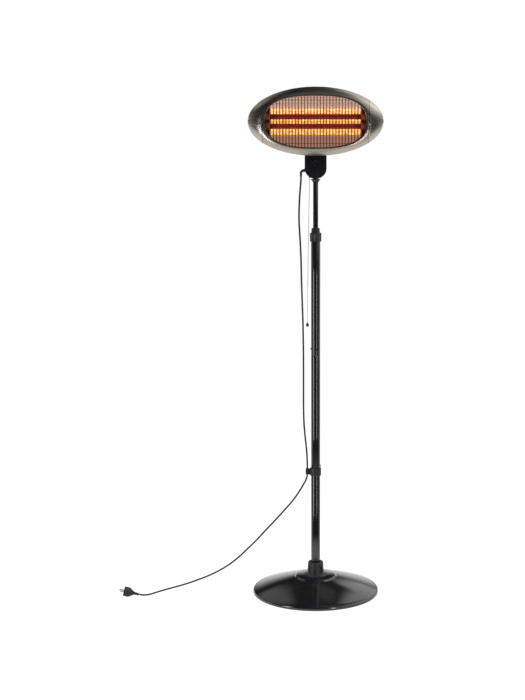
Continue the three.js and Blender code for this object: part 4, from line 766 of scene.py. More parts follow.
def make_base():
    shoulder, top = (243, 15), (84, 62)
    outside = [(243, 1.5), (249.4, 1.5), (250, 2.1), (250, 8)]
    outside += curve_points((250, 8), (250, 14), shoulder, 6)
    outside += curve_points(shoulder, (163.5, 44.5), top, 14)
    outside += curve_points(top, (79, 67), (76, 68), 5)
    outside += [(18.4, 68), (18.4, 66.4), (75, 66.4)]
    inside = curve_points((82.5, 60.6), (163.5, 42.6), (242, 13.2), 10)
    outside += [(82.5, 60.6)] + inside + [(248, 7), (248, 3.1), (243, 3.1)]
    cover = mesh_object("base_dome", turned(outside, 144), sharp=25)
    settle(cover, "stand", "gloss_black_paint", BASE_BLACK, "base_cover")
    for i in range(4):
        angle = FULL_TURN * (i + 0.5) / 4
        foot = turned([(0, 0), (11.6, 0), (12.6, 0.6), (13, 1.4), (13, 3.2), (0, 3.2)], 40)
        bmesh.ops.translate(foot, verts=foot.verts, vec=(0.205 * math.cos(angle), 0.205 * math.sin(angle), 0))
        settle(mesh_object(f"base_foot_{i + 1}", foot), "stand", "foot_rubber", RUBBER, f"foot_{i + 1}")


def make_collar():
    z0, top = 68.3, 123.3
    profile = [
        (18.3, z0), (45.7, z0), (46.5, z0 + 0.8), (46.5, z0 + 2.6), (45.4, z0 + 3.8), (37, z0 + 4.6),
        (34.4, z0 + 6), (33.3, z0 + 9), (32.8, z0 + 13), (30.5, top - 3), (29.6, top - 0.9), (27.6, top),
        (20.8, top), (20, top - 0.8), (20, top - 9), (18.3, top - 11),
    ]
    collar = mesh_object("base_socket_collar", soften(turned(profile, 96), 0.35, 2, 40))
    for i in range(4):
        pocket = soften(block((27.5, -6, z0 + 11), (60, 6, top - 11)), 2.2, 4)
        turn = Matrix.Rotation(FULL_TURN * (i + 0.5) / 4, 3, "Z")
        bmesh.ops.rotate(pocket, verts=pocket.verts, cent=(0, 0, 0), matrix=turn)
        carved(collar, pocket)
    settle(collar, "stand", "black_plastic", MOULDED_BLACK, "base_collar")


# ---------------------------------------------------------------- pole
def pipe(radius, wall, low, high, chamfer):
    """A tube's section with its outer edges rounded off in two steps."""
    inner = radius - wall
    nib = 0.3 * chamfer
    return [
        (inner, low), (radius - chamfer, low), (radius - nib, low + nib), (radius, low + chamfer),
        (radius, high - chamfer), (radius - nib, high - nib), (radius - chamfer, high), (inner, high),
    ]


def pan_screw(head_r, head_h, shank_r, shank_l):
    """A screw along +Z with a domed head and a cross recess."""
    profile = [
        (0, -shank_l), (shank_r - 0.4, -shank_l), (shank_r, -shank_l + 0.4), (shank_r, 0), (head_r, 0),
        (head_r, head_h * 0.4), (head_r * 0.92, head_h * 0.68), (head_r * 0.68, head_h * 0.92), (0, head_h),
    ]
    screw = mesh_object("screw", turned(profile, 32))
    half = head_r * 0.13
    arm = head_r * 0.55
    for low, high in (((-arm, -half), (arm, half)), ((-half, -arm), (half, arm))):
        carved(screw, block((*low, head_h * 0.45), (*high, head_h + 1)))
    bm = bmesh.new()
    bm.from_mesh(screw.data)
    bpy.data.objects.remove(screw)
    return bm


def make_pole():
    for i, name in enumerate(("tube_lower", "tube_middle", "tube_upper")):
        low = TUBE_BOTTOM + i * (TUBE_LENGTH + SEAM_GAP)
        tube = turned(pipe(TUBE_R, 1.5, low, low + TUBE_LENGTH, 1.3), 72)
        settle(mesh_object("pole_" + name, tube), "stand", "gloss_black_paint", GLOSS_BLACK, name)
    joints = {"lower": (514.3, (-45, 90)), "upper": (978.6, (-90, 5))}
    for joint, (z, angles) in joints.items():
        for i, degrees in enumerate(angles):
            angle = math.radians(degrees)
            way = Vector((math.sin(angle), -math.cos(angle), 0))
            screw = pan_screw(4, 2.4, 2, 4.2)
            seat = way * (TUBE_R + 0.3) * MM + Vector((0, 0, z * MM))
            screw.transform(Matrix.Translation(seat) @ way.to_track_quat("Z", "Y").to_matrix().to_4x4())
            made = mesh_object(f"pole_screw_{joint}_{i + 1}", screw)
            settle(made, "stand", "black_steel", BLACK_STEEL, f"joint_screw_{joint}_{i + 1}")
    inner = turned(pipe(INNER_TUBE_R, 1.5, 1168.5, 1661.5, 0.5), 56)
    settle(mesh_object("mast_tube", inner), "mast", "gloss_black_paint", GLOSS_BLACK, "inner_tube")


def make_clamp():
    z = POLE_TOP
    profile = [
        (18.5, z - 24), (22, z - 24), (23, z - 23), (23, z + 6.4), (22.4, z + 7.6), (20.8, z + 8),
        (18.9, z + 8.2), (17.6, z + 9.4), (16.6, z + 11), (15.6, z + 25.2), (15, z + 26.4), (13.9, z + 27),
        (10.5, z + 27), (10.5, z + 24.3), (13.5, z + 24.3), (14.5, z + 4.3), (18.5, z + 4.3),
    ]
    bm = turned(profile, 240)
    for height in (z - 20.5, z + 4.5):
        split_at(bm, (0, 0, height * MM), (0, 0, 1))
    for v in bm.verts:
        r = math.hypot(v.co.x, v.co.y)
        if r > 21.5 * MM and (z - 23.5) * MM < v.co.z < (z + 6) * MM:
            swing = 0.5 + 0.5 * math.cos(10 * math.atan2(v.co.y, v.co.x))
            pull_in(v, 2.1 * MM * (swing ** 0.6))
    ring = mesh_object("height_clamp_ring", bm, sharp=45)
    settle(ring, "clamp", "black_plastic", MOULDED_BLACK, "clamp_nut")


def open_ring(section, start, centre, half_gap, steps, edge):
    """A ring round an upright axis with a gap in it, its edges rounded: inner, outer, low and high."""
    inner, outer, low, high = section
    ring = bmesh.new()
    corners = [(inner, low), (outer, low), (outer, high), (inner, high)]
    face = ring.faces.new([ring.verts.new(start @ (Vector((r, 0, z)) * MM)) for r, z in corners])
    angle = FULL_TURN - 2 * half_gap
    bmesh.ops.spin(ring, geom=[face], cent=centre, axis=(0, 0, 1), angle=angle, steps=steps)
    return soften(outward(ring), edge, 3, 50)


def make_clip():
    low, high = 476, 506
    jaw_low, jaw_high = 479, 503
    half_gap = math.asin(8 / 20)
    mouth_half = math.radians(24)
    mouth_at = math.radians(180 + 40)
    centre = (CLIP_X * MM, 0, 0)
    start = Matrix.Rotation(math.pi / 2 + half_gap, 4, "Z")
    turn = Matrix.Translation(centre) @ Matrix.Rotation(mouth_at + mouth_half, 4, "Z")
    strap = open_ring((18.3, 21.9, low, high), start, (0, 0, 0), half_gap, 56, 0.7)
    jaw = open_ring((4.3, 6.6, jaw_low, jaw_high), turn, centre, mouth_half, 40, 0.6)
    web = slab([(-28.5, jaw_low + 1), (-20.5, low + 0.8), (-20.5, high - 0.8), (-28.5, jaw_high - 1)], -3, 3)
    clip = mesh_object("cord_clip", joined(strap, jaw, soften(web, 0.6, 2)))
    settle(clip, "stand", "black_plastic", MOULDED_BLACK, "cable_clip")


# ---------------------------------------------------------------- switch housing
def housing_outline(inset=0.0):
    w, top = 41.5 - inset, 93.5 - inset
    corner = 11 - inset
    points = arc(w - corner, top - corner, corner, corner, 0, 90, 10)
    points += arc(corner - w, top - corner, corner, corner, 90, 180, 10)
    points += arc(0, 38.5, w, 38.5 - inset, 180, 360, 56)
    return [(x, z + HOUSING_BOTTOM) for x, z in points]


def housing_half(low, high, rounded_at):
    """A solid half of the housing with its outer rim rounded."""
    bm = slab(housing_outline(), low, high)
    rim = [
        e for e in bm.edges
        if all(abs(v.co.y - rounded_at * MM) < 1e-6 for v in e.verts) and len(e.link_faces) == 2
    ]
    return rounded(bm, rim, 3.5, 6)


def hollow_out(piece, low, high):
    """Empties a housing half and opens it for the pole, the hinge, the pull cord and the gland."""
    carved(piece, slab(housing_outline(2.5), low, high))
    carved(piece, rod((0, 0, 1620), (0, 0, 1667), MAST_BORE, 40))
    carved(piece, block((-22.3, -4.3, 1717), (22.3, 20.3, 1723)))
    carved(piece, rod((PULL_X, PULL_Y, 1627), (PULL_X, PULL_Y, 1657), 3.5, 24))
    carved(piece, rod((-60, GLAND_Y, GLAND_Z), (-34.7, GLAND_Y, GLAND_Z), 5.8, 32))


def make_housing():
    front = mesh_object("switch_housing_front", housing_half(-19, 3.85, -19))
    hollow_out(front, -16.5, 6)
    carved(front, soften(rod((0, -20, RECESS_Z), (0, -16.6, RECESS_Z), 14.5, 64), 0.5, 2))
    settle(front, "mast", "housing_plastic", HOUSING_BLACK, "housing_front")
    disc = joined(rod((0, -16.4, RECESS_Z), (0, -14, RECESS_Z), 16.8, 56))
    floor = mesh_object("housing_recess_floor", soften(disc, 0.3))
    settle(floor, "mast", "housing_plastic", HOUSING_BLACK)
    rear = mesh_object("switch_housing_rear", housing_half(4.15, 27, 27))
    hollow_out(rear, 2, 24.5)
    for x, z in REAR_SCREWS:
        carved(rear, rod((x, 24.8, z), (x, 30, z), 4.2, 32))
    settle(rear, "mast", "housing_plastic", HOUSING_BLACK, "housing_rear")
    for i, (x, z) in enumerate(REAR_SCREWS):
        screw = pan_screw(3.4, 1.8, 1.4, 4)
        screw.transform(turned_to((x, 24.6, z), -math.pi / 2, "X"))
        settle(mesh_object(f"housing_rear_screw_{i + 1}", screw), "mast", "black_steel", BLACK_STEEL)
    screw = pan_screw(4.6, 2.2, 2, 11)
    screw.transform(turned_to((0, -16.8, RECESS_Z), math.pi / 2, "X"))
    settle(mesh_object("housing_front_screw", screw), "mast", "black_steel", BLACK_STEEL, "housing_screw")
    neck = [
        (MAST_BORE, 1616.7), (12.1, 1616.7), (12.6, 1617.2), (12.9, 1620.4), (14, 1622), (17.2, 1623.6),
        (18, 1624.6), (18, 1627.6), (17.5, 1628.2), (MAST_BORE, 1628.2),
    ]
    made = mesh_object("housing_neck", turned(neck, 64))
    settle(made, "mast", "black_plastic", MOULDED_BLACK, "neck_collar")


def make_gland():
    flange = turned([(0, 0), (6.6, 0), (7, 0.4), (7, 2.2), (6.2, 3), (0, 3)], 48)
    flange.transform(turned_to((-41.8, GLAND_Y, GLAND_Z), -math.pi / 2, "Y"))
    nipple = rod((-44, GLAND_Y, GLAND_Z), (-32.2, GLAND_Y, GLAND_Z), 5.5, 40)
    nut = soften(rod((-34.7, GLAND_Y, GLAND_Z), (-31.7, GLAND_Y, GLAND_Z), 7, 6), 0.4)
    collar = mesh_object("cord_gland_body", joined(flange, nipple, nut))
    settle(collar, "mast", "plug_rubber", RUBBER, "cord_gland")
    route, radii = [(-44.2, GLAND_Y, GLAND_Z)], [5.0]
    steps, bend, straight = 26, 11, 13
    for i in range(steps + 1):
        way = i / steps * (bend * math.pi / 2 + straight)
        angle = min(way / bend, math.pi / 2)
        drop = max(0.0, way - bend * math.pi / 2)
        height = GLAND_Z - bend * (1 - math.cos(angle)) - drop
        route.append((-44.8 - bend * math.sin(angle), GLAND_Y, height))
        taper = 5.0 + (4.2 - 5.0) * i / steps
        rib = 0.22 if i % 3 else -0.28
        radii.append(taper + rib)
    boot, _ = swept("cord_boot", route, 1, sides=24, resolution=4, radii=radii)
    settle(boot, "mast", "plug_rubber", RUBBER)


def make_pull_switch():
    knob = [
        (0, 1065.3), (2.4, 1065.6), (4, 1066.7), (5.2, 1068.6), (5.75, 1071.2), (5.5, 1073.8), (4.7, 1076.2),
        (3.5, 1078.4), (2.5, 1079.8), (1.9, 1081), (1.4, 1081.3), (0, 1081.3),
    ]
    bm = turned(knob, 48)
    bmesh.ops.translate(bm, verts=bm.verts, vec=Vector((-32, -7, 0)) * MM)
    pull_knob = settle(mesh_object("pull_bead", bm, 60), "pull", "black_plastic", MOULDED_BLACK, "pull_knob")
    eyelet = [
        (1.8, 1632.5), (2.6, 1632.5), (3.2, 1633.1), (3.2, 1641.9), (4.6, 1641.9), (4.6, 1643.5),
        (1.8, 1643.5),
    ]
    bm = turned(eyelet, 40)
    bmesh.ops.translate(bm, verts=bm.verts, vec=Vector((PULL_X, PULL_Y, 0)) * MM)
    settle(mesh_object("pull_eyelet", bm), "mast", "black_plastic", MOULDED_BLACK, "pull_cord_eyelet")


# ---------------------------------------------------------------- hinge
def make_hinge():
    outline = [(-4, 58), (20, 58)] + arc(8, 117.5, 12, 12, 0, 180, 28)
    bm = slab([(y, z + HOUSING_BOTTOM) for y, z in outline], -22, 22)
    moved(bm, SIDEWAYS)
    socket = rod((0, 0, 1636.5), (0, 0, 1690), 13, 48)
    hinge = mesh_object("hinge_casting", joined(soften(bm, 0.9, 3, 40), socket))
    carved(hinge, rod((-30, 8, 1746), (30, 8, 1746), 4.3, 40))
    carved(hinge, rod((0, 0, 1630), (0, 0, 1661.8), MAST_BORE, 40))
    settle(hinge, "mast", "hinge_aluminium", CAST_BLACK, "hinge_block")


def make_head_bracket():
    plate = soften(block((-35, 50.3, -58), (35, 52.8, -24)), 0.5)
    ears = []
    for side in (-1, 1):
        foot = arc(62, -100, 12, 12, 180, 360, 28)
        outline = [(50.3, -26), (50.3, -64)] + foot + [(60.8, -58), (54.8, -26)]
        low, high = sorted((side * 22.3, side * 25.3))
        ear = slab(outline, low, high)
        moved(ear, SIDEWAYS)
        ears.append(soften(ear, 0.4, 2, 40))
    bm = joined(plate, *ears)
    bm.transform(HEAD_FRAME)
    bracket = mesh_object("head_hinge_bracket", bm)
    settle(bracket, "head", "black_steel", BLACK_STEEL, "head_bracket")
    for i, (x, z) in enumerate(((-29, -32), (29, -32), (-29, -50), (29, -50))):
        screw = pan_screw(3.6, 2, 1.6, 3)
        screw.transform(HEAD_FRAME @ turned_to((x, 52.9, z), -math.pi / 2, "X"))
        settle(mesh_object(f"bracket_screw_{i + 1}", screw), "head", "zinc_steel", ZINC)
    knob_at = Matrix.Translation(PIVOT) @ Matrix.Rotation(math.pi / 2, 4, "Y")
    shank = rod((0, 0, -26), (0, 0, 39.3), 4, 40)
    head = soften(rod((0, 0, -30.6), (0, 0, -25.6), 7, 6), 0.5, 2, 40)
    washer = turned([(4.2, -25.6), (8, -25.6), (8, -25.4), (4.2, -25.4)], 40)
    bolt = joined(shank, head, washer)
    bolt.transform(knob_at)
    settle(mesh_object("tilt_hinge_bolt", bolt), "head", "zinc_steel", ZINC, "tilt_bolt")
    knob_profile = [(4.3, 25.6), (7, 25.6), (7.2, 30)]
    knob_profile += curve_points((7.2, 30), (10.5, 31), (14.2, 32.2), 4)
    knob_profile += [(15, 33.2), (15, 41.6), (14.2, 43), (12, 43.6), (6, 43.9), (0.01, 43.9)]
    knob_profile += [(0.01, 39.9), (4.3, 39.6)]
    knob = turned(knob_profile, 144)
    for v in knob.verts:
        r = math.hypot(v.co.x, v.co.y)
        if r > 8 * MM and v.co.z > 30.5 * MM:
            lobe = 0.5 + 0.5 * math.cos(6 * math.atan2(v.co.y, v.co.x))
            share = min(1, (r / MM - 8) / 6)
            pull_in(v, 3.6 * MM * (1 - lobe) * share)
    knob.transform(knob_at)
    settle(mesh_object("tilt_hand_knob", knob, 50), "knob", "black_plastic", MOULDED_BLACK, "tilt_knob")


# ---------------------------------------------------------------- head
OVAL_STEPS = 144


def oval_point(bearing, half_w, half_h, power, y):
    """The point of a fuller or leaner oval at a bearing, in the head's frame."""
    c, s = math.cos(bearing), math.sin(bearing)
    reach = 2 / power
    x = half_w * math.copysign(abs(c) ** reach, c)
    z = half_h * math.copysign(abs(s) ** reach, s)
    return Vector((x, y, z)) * MM


def oval_skin(rings, closed=False):
    """A skin drawn out from oval to oval, each (half width, half height, power, depth), and its last edge."""
    bm = bmesh.new()
    bearing = bm.verts.layers.float.new("bearing")
    verts = bmesh.ops.create_circle(bm, cap_ends=False, segments=OVAL_STEPS, radius=1)["verts"]
    for v in verts:
        v[bearing] = math.atan2(v.co.y, v.co.x)
        v.co = oval_point(v[bearing], *rings[0])
    edge = bm.edges[:]
    for ring in rings[1:] + (rings[:1] if closed else []):
        grown = bmesh.ops.extrude_edge_only(bm, edges=edge)["geom"]
        verts = set(new_verts(grown))
        for v in verts:
            v.co = oval_point(v[bearing], *ring)
        edge = [e for e in grown if isinstance(e, bmesh.types.BMEdge) and verts.issuperset(e.verts)]
    if closed:
        bmesh.ops.remove_doubles(bm, verts=bm.verts, dist=1e-6)
        outward(bm)
    bm.normal_update()
    return bm, edge


def face_rings():
    """The domed face from its straight rim over the crown into the turned-in lip."""
    rings = [(HALF_W, HALF_H, 2, 0), (HALF_W, HALF_H, 2, -3)]
    for i in range(13):
        share = i / 12
        w = HALF_W + (OPENING_W / 2 - HALF_W) * share
        h = HALF_H + (OPENING_H / 2 - HALF_H) * share
        power = 2 + (OPENING_POWER - 2) * share
        y = -BEZEL_SKIRT - (BEZEL_DEPTH - BEZEL_SKIRT) * math.sin(share * math.pi / 2)
        rings.append((w, h, power, y))
    for inset, depth in ((0.9, 0.5), (1.2, 1.6), (1.2, LIP_DEPTH)):
        rings.append((OPENING_W / 2 - inset, OPENING_H / 2 - inset, OPENING_POWER, -BEZEL_DEPTH + depth))
    return rings


def facing(bm, way):
    """Turns an open skin so that most of it faces a direction."""
    outward(bm)
    if sum(f.normal.dot(way) * f.calc_area() for f in bm.faces) < 0:
        bmesh.ops.reverse_faces(bm, faces=bm.faces)
        bm.normal_update()
    return bm


def roll_in(bm, x):
    """Turns the sheet's edge at a seam back into the head, round a small bend."""
    rim = [
        e for e in bm.edges
        if len(e.link_faces) == 1 and all(abs(v.co.x - x * MM) < 1e-6 for v in e.verts)
    ]
    if not rim:
        return
    grown = bmesh.ops.extrude_edge_only(bm, edges=rim)["geom"]
    bmesh.ops.translate(bm, verts=new_verts(grown), vec=(0, SEAM_FLANGE * MM, 0))
    bm.normal_update()
    rounded(bm, rim, SEAM_BEND, 4)
    bm.normal_update()


def make_face():
    whole = facing(oval_skin(face_rings())[0], Vector((0, -1, 0)))
    spans = {
        "face_bezel": (-CAP_SEAM_X + 0.5, CAP_SEAM_X - 0.5),
        "face_cap_left": (-300, -CAP_SEAM_X - 0.5),
        "face_cap_right": (CAP_SEAM_X + 0.5, 300),
    }
    nodes = {"face_bezel": "bezel", "face_cap_left": "end_cap_left", "face_cap_right": "end_cap_right"}
    for name, (low, high) in spans.items():
        bm = whole.copy()
        for x, way in ((low, -1), (high, 1)):
            split_at(bm, (x * MM, 0, 0), (way, 0, 0), clear_outer=True)
            roll_in(bm, x)
        bm.transform(HEAD_FRAME)
        bm.normal_update()
        piece = mesh_object(name, bm, sharp=50)
        add_wall(piece, SHEET - 0.2)
        edge = piece.modifiers.new("edge", "BEVEL")
        edge.width, edge.segments = 0.25 * MM, 2
        edge.limit_method, edge.angle_limit = "ANGLE", math.radians(60)
        metal = BRUSHED if name == "face_bezel" else CAP_BRUSHED
        settle(piece, "head", "brushed_stainless", metal, nodes[name])
    whole.free()


SHELL_DEPTH, SHELL_WALL = 50, 1.2
SHELL_SHARES = [(1, 0.3), (0.95, 8), (0.84, 22), (0.7, 37), (0.57, 47), (0.5, 50)]


def smooth_shell_shares():
    """The dish's steps, rounded into one smooth curve."""
    points = [Vector((share, depth)) for share, depth in SHELL_SHARES]
    found = [points[0]]
    for i in range(len(points) - 1):
        a = points[max(i - 1, 0)]
        b, c = points[i], points[i + 1]
        d = points[min(i + 2, len(points) - 1)]
        for k in range(1, 6):
            t = k / 5
            square = (2 * a - 5 * b + 4 * c - d) * t * t
            cube = (3 * b - a - 3 * c + d) * t ** 3
            found.append(0.5 * (2 * b + (c - a) * t + square + cube))
    return [(p.x, min(p.y, SHELL_DEPTH)) for p in found]


def make_rear_shell():
    outer = [(HALF_W * s, HALF_H * s, 2, y) for s, y in smooth_shell_shares()]
    outer += [(HALF_W * s, HALF_H * s, 2, SHELL_DEPTH) for s in (0.46, 0.3, 0.1)]
    bm, inmost = oval_skin(outer)
    bmesh.ops.holes_fill(bm, edges=inmost)
    facing(bm, Vector((0, 1, 0)))
    bm.transform(HEAD_FRAME)
    bm.normal_update()
    shell = mesh_object("rear_dish", bm, sharp=50)
    add_wall(shell, SHELL_WALL)
    solid = mesh_of(shell)
    shell.modifiers.clear()
    shell.data = solid
    rows = [(32, x) for x in range(-80, 81, 20)] + [(-32, x) for x in (-80, -60, 60, 80)]
    for z, x in rows:
        slot = block((x - 2.5, 25, z - 16), (x + 2.5, 60, z + 16))
        upright = [e for e in slot.edges if abs(e.verts[0].co.y - e.verts[1].co.y) > 0.01]
        rounded(slot, upright, 2.3, 5)
        slot.transform(HEAD_FRAME)
        carved(shell, slot)
    settle(shell, "head", "dark_paint", SHELL_PAINT, "rear_shell")
    spigot, _ = oval_skin([(249.8, 123.8, 2, 2), (249.8, 123.8, 2, -5)])
    spigot.transform(HEAD_FRAME)
    ring = mesh_object("rear_dish_spigot", spigot)
    add_wall(ring, SHELL_WALL)
    settle(ring, "head", "dark_paint", SHELL_PAINT)


GUARD_UPRIGHTS = 32
GUARD_ROWS = (-79, -48, 0, 50, 79)


def oval_reach(half_long, half_short, power, at):
    """Half the width of an oval across one of its axes, at a distance along the other."""
    return half_short * (1 - abs(at / half_long) ** power) ** (1 / power)


def make_guard():
    front = -BEZEL_DEPTH + LIP_DEPTH + 0.3
    half_w, half_h = OPENING_W / 2 + 2.5, OPENING_H / 2 + 2.5
    parts = []
    for i in range(GUARD_UPRIGHTS):
        x = (i - (GUARD_UPRIGHTS - 1) / 2) * WIRE_PITCH
        reach = oval_reach(half_w, half_h, OPENING_POWER, x)
        parts.append(rod((x, front + 1.4, -reach), (x, front + 1.4, reach), 1, 8))
    for z in GUARD_ROWS:
        reach = oval_reach(half_h, half_w, OPENING_POWER, z)
        parts.append(rod((-reach, front + 3.1, z), (reach, front + 3.1, z), 1, 8))
    corners = ((1.5, 0), (-1.5, 0), (-1.5, 3), (1.5, 3))
    rings = [(half_w + out, half_h + out, OPENING_POWER, front + back) for out, back in corners]
    rim, _ = oval_skin(rings, closed=True)
    bm = joined(*parts, rim)
    bm.transform(HEAD_FRAME)
    settle(mesh_object("face_guard", bm, 60), "head", "guard_wire", GUARD_WIRE, "wire_guard")


def mirror_line(back):
    """The reflector's section as (y, z), or its back face."""
    half = QUARTZ_SPACING / 2
    ridge = math.degrees(math.asin(half / TROUGH_R))
    outer = math.degrees(math.asin(17 / TROUGH_R))
    upper = arc(QUARTZ_Y, half, TROUGH_R, TROUGH_R, -ridge, outer, 16)
    lower = [(y, -z) for y, z in reversed(upper[1:])]
    line = [(-24, -96)] + lower + upper + [(-24, 96)]
    return [(y + back, z) for y, z in line]


def make_reflector():
    front = mirror_line(0)
    behind = list(reversed(mirror_line(1)))
    bm = slab([(y, z) for y, z in front + behind], -REFLECTOR_END, REFLECTOR_END)
    moved(bm, SIDEWAYS)
    piece = mesh_object("reflector_troughs", bm)
    oval = []
    reach = 2 / OPENING_POWER
    for i in range(96):
        c, s = math.cos(FULL_TURN * i / 96), math.sin(FULL_TURN * i / 96)
        oval.append((187 * math.copysign(abs(c) ** reach, c), 93 * math.copysign(abs(s) ** reach, s)))
    carved(piece, slab(oval, -38, 50), "INTERSECT")
    piece.data.transform(HEAD_FRAME)
    settle(piece, "head", "mirror_aluminium", REFLECTOR_PAINTED_GLOW, "reflector")


CAP_PROFILE = [
    (0, 5), (9.8, 5), (9.8, 0), (10.9, 0), (11.5, 0.6), (11.5, 12.6), (11, 13.8), (9.6, 15), (0, 15),
]


def make_elements():
    turns, per_turn, long, coil_r = 58, 12, 320, 7
    for row, side in (("upper", 1), ("lower", -1)):
        place = HEAD_FRAME @ Matrix.Translation(Vector((0, QUARTZ_Y, side * QUARTZ_SPACING / 2)) * MM)
        along = place @ Matrix.Rotation(math.pi / 2, 4, "Y")
        tube = turned([(8.4, -176), (9.3, -176), (9.5, -175.8), (9.5, 175.8), (9.3, 176), (8.4, 176)], 48)
        tube.transform(along)
        settle(mesh_object(f"quartz_{row}", tube), "head", "quartz", RUBY_QUARTZ, f"quartz_tube_{row}")
        knots = [(-long / 2 - 5, coil_r, 0)]
        for i in range(turns * per_turn + 1):
            angle = FULL_TURN * i / per_turn
            x = long * (i / (turns * per_turn) - 0.5)
            knots.append((x, coil_r * math.cos(angle), coil_r * math.sin(angle)))
        knots.append((long / 2 + 5, coil_r, 0))
        coil, _ = swept(f"hot_coil_{row}", knots, 0.9, sides=6, resolution=1)
        coil.data.transform(place)
        settle(coil, "head", "resistance_wire", HOT_WIRE, f"heating_coil_{row}")
        for end, way in (("left", -1), ("right", 1)):
            cap = turned(CAP_PROFILE, 48)
            cap.transform(place @ turned_to((way * 171.3, 0, 0), way * math.pi / 2, "Y"))
            name = f"ceramic_cap_{row}_{end}"
            settle(mesh_object("socket_" + name, cap), "head", "ceramic", CERAMIC_PAINTED_GLOW, name)


# ---------------------------------------------------------------- plug
def make_plug():
    approach, start = (Vector(point) for point in LOWER_CORD_ROUTE[-2:])
    heading = Vector((start.x - approach.x, start.y - approach.y, 0)).normalized()
    rise = math.radians(15)
    axis = heading * math.cos(rise) + Vector((0, 0, math.sin(rise)))
    side = Vector((0, 0, 1)).cross(heading).normalized()
    up = axis.cross(side)
    turn = Matrix((side, up, axis)).transposed().to_4x4()
    place = Matrix.Translation((start + axis * 0.6) * MM) @ turn
    body = [
        (0, 0), (4.6, 0), (5, 0.5), (5.3, 6), (4.7, 6.6), (4.7, 8), (5.5, 8.6), (5.7, 13), (5.1, 13.6),
        (5.1, 15), (6.1, 15.8), (7, 20), (9.4, 24.5), (12.6, 28.8), (15.6, 32.6), (17.5, 36),
        (18.6, 40), (19.1, 44), (19.1, 57.6), (18.6, 59.2), (17.3, 60), (0, 60),
    ]
    plug = mesh_object("plug_body", turned(body, 72), 50)
    for way in (-1, 1):
        low, high = sorted((way * 16.5, way * 22))
        carved(plug, soften(block((-4, low, 46), (4, high, 61)), 1, 2))
    plug.data.transform(place)
    settle(plug, "stand", "plug_rubber", RUBBER, "mains_plug")
    for i, x in enumerate((-9.5, 9.5)):
        pin = turned([(0, 58), (2.4, 58), (2.4, 77), (1.9, 78.4), (0.9, 79), (0, 79)], 28)
        bmesh.ops.translate(pin, verts=pin.verts, vec=(x * MM, 0, 0))
        pin.transform(place)
        settle(mesh_object(f"plug_pin_{i + 1}", pin), "stand", "zinc_steel", BRASS)
    for way in (-1, 1):
        low, high = sorted((way * 16.7, way * 17.4))
        spring = block((-3, low, 47), (3, high, 60.2))
        spring.transform(place)
        name = "plug_earth_spring_" + ("a" if way < 0 else "b")
        settle(mesh_object(name, spring), "stand", "zinc_steel", BRASS)


# ---------------------------------------------------------------- what stays as in the CAD model
KEPT = {
    "base_weight": CEMENT,
    "base_washer": ZINC,
    "base_bolt": ZINC,
    "tube_plug": ALUMINIUM,
    "joint_sleeve_lower": ZINC,
    "joint_sleeve_upper": ZINC,
    "clamp_bush": MOULDED_BLACK,
    "slide_bush": MOULDED_BLACK,
    "switch_body": THERMOSET,
    "terminal_block": THERMOSET,
    "switch_slider": THERMOSET,
    "end_bracket_left": STEEL_PAINTED_GLOW,
    "end_bracket_right": STEEL_PAINTED_GLOW,
}


def finish_kept_nodes():
    for name, material in KEPT.items():
        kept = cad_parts[name]
        kept.data.materials.clear()
        kept.data.materials.append(material)


make_base()
make_collar()
make_pole()
make_clamp()
make_clip()
make_housing()
make_gland()
make_pull_switch()
make_hinge()
make_head_bracket()
make_face()
make_rear_shell()
make_guard()
make_reflector()
make_elements()
make_plug()
finish_kept_nodes()


# ---------------------------------------------------------------- studio
PAPER_NEAR, PAPER_FAR = 0.42, 0.75  # how far from the pole the paper shows in a gloss, in metres


def make_floor():
    bm = bmesh.new()
    bmesh.ops.create_grid(bm, x_segments=1, y_segments=1, size=14)
    bmesh.ops.translate(bm, verts=bm.verts, vec=(0, 0, -0.0004))
    floor = mesh_object("studio_floor", bm)
    material = bpy.data.materials.new("studio_paper")
    material.use_nodes = True
    tree = material.node_tree
    tree.nodes.clear()
    path = node(tree, "ShaderNodeLightPath")
    paper = node(tree, "ShaderNodeBsdfDiffuse", {"Color": (0.86, 0.86, 0.86, 1)})
    light = node(tree, "ShaderNodeEmission", {"Color": (1, 1, 1, 1), "Strength": 1.3})
    seen = times(tree, path.outputs["Is Camera Ray"], 0.7)
    share = calc(tree, "ADD", seen, times(tree, path.outputs["Is Glossy Ray"], 0.6))
    mixed = node(tree, "ShaderNodeMixShader")
    tree.links.new(share, mixed.inputs[0])
    tree.links.new(paper.outputs[0], mixed.inputs[1])
    tree.links.new(light.outputs[0], mixed.inputs[2])
    place = node(tree, "ShaderNodeTexCoord").outputs["Object"]
    reach = node(tree, "ShaderNodeVectorMath", {0: place}, operation="LENGTH").outputs["Value"]
    gone = times(tree, span(tree, reach, PAPER_NEAR, PAPER_FAR), path.outputs["Is Glossy Ray"])
    clear = node(tree, "ShaderNodeBsdfTransparent")
    faded = node(tree, "ShaderNodeMixShader", {0: gone})
    tree.links.new(mixed.outputs[0], faded.inputs[1])
    tree.links.new(clear.outputs[0], faded.inputs[2])
    output = node(tree, "ShaderNodeOutputMaterial")
    tree.links.new(faded.outputs[0], output.inputs["Surface"])
    floor.data.materials.append(material)


# What a gloss sees of the studio: (bearings, heights, brightness, softness), all angles in degrees.
# Bearings run to the right, from straight behind the heater for the first list and from straight
# in front of it for the second.
BEHIND = [
    ((-95, 95), (-90, 13), 1.05, 9),
    ((-95, -16), (27, 56), 0.42, 3),
    ((18, 95), (20, 66), 1.15, 3),
    ((12, 18), (17, 34), 1.15, 3),
    ((2, 13), (44, 55), 0.16, 2),
]
BEFORE = [
    ((30, 110), (10, 60), 0.7, 6),
    ((-30, 110), (24, 88), 0.12, 9),
    ((-85, 85), (-90, -32), 0.66, 7),
]
DIM = 0.02  # what a gloss sees of the studio between its patches


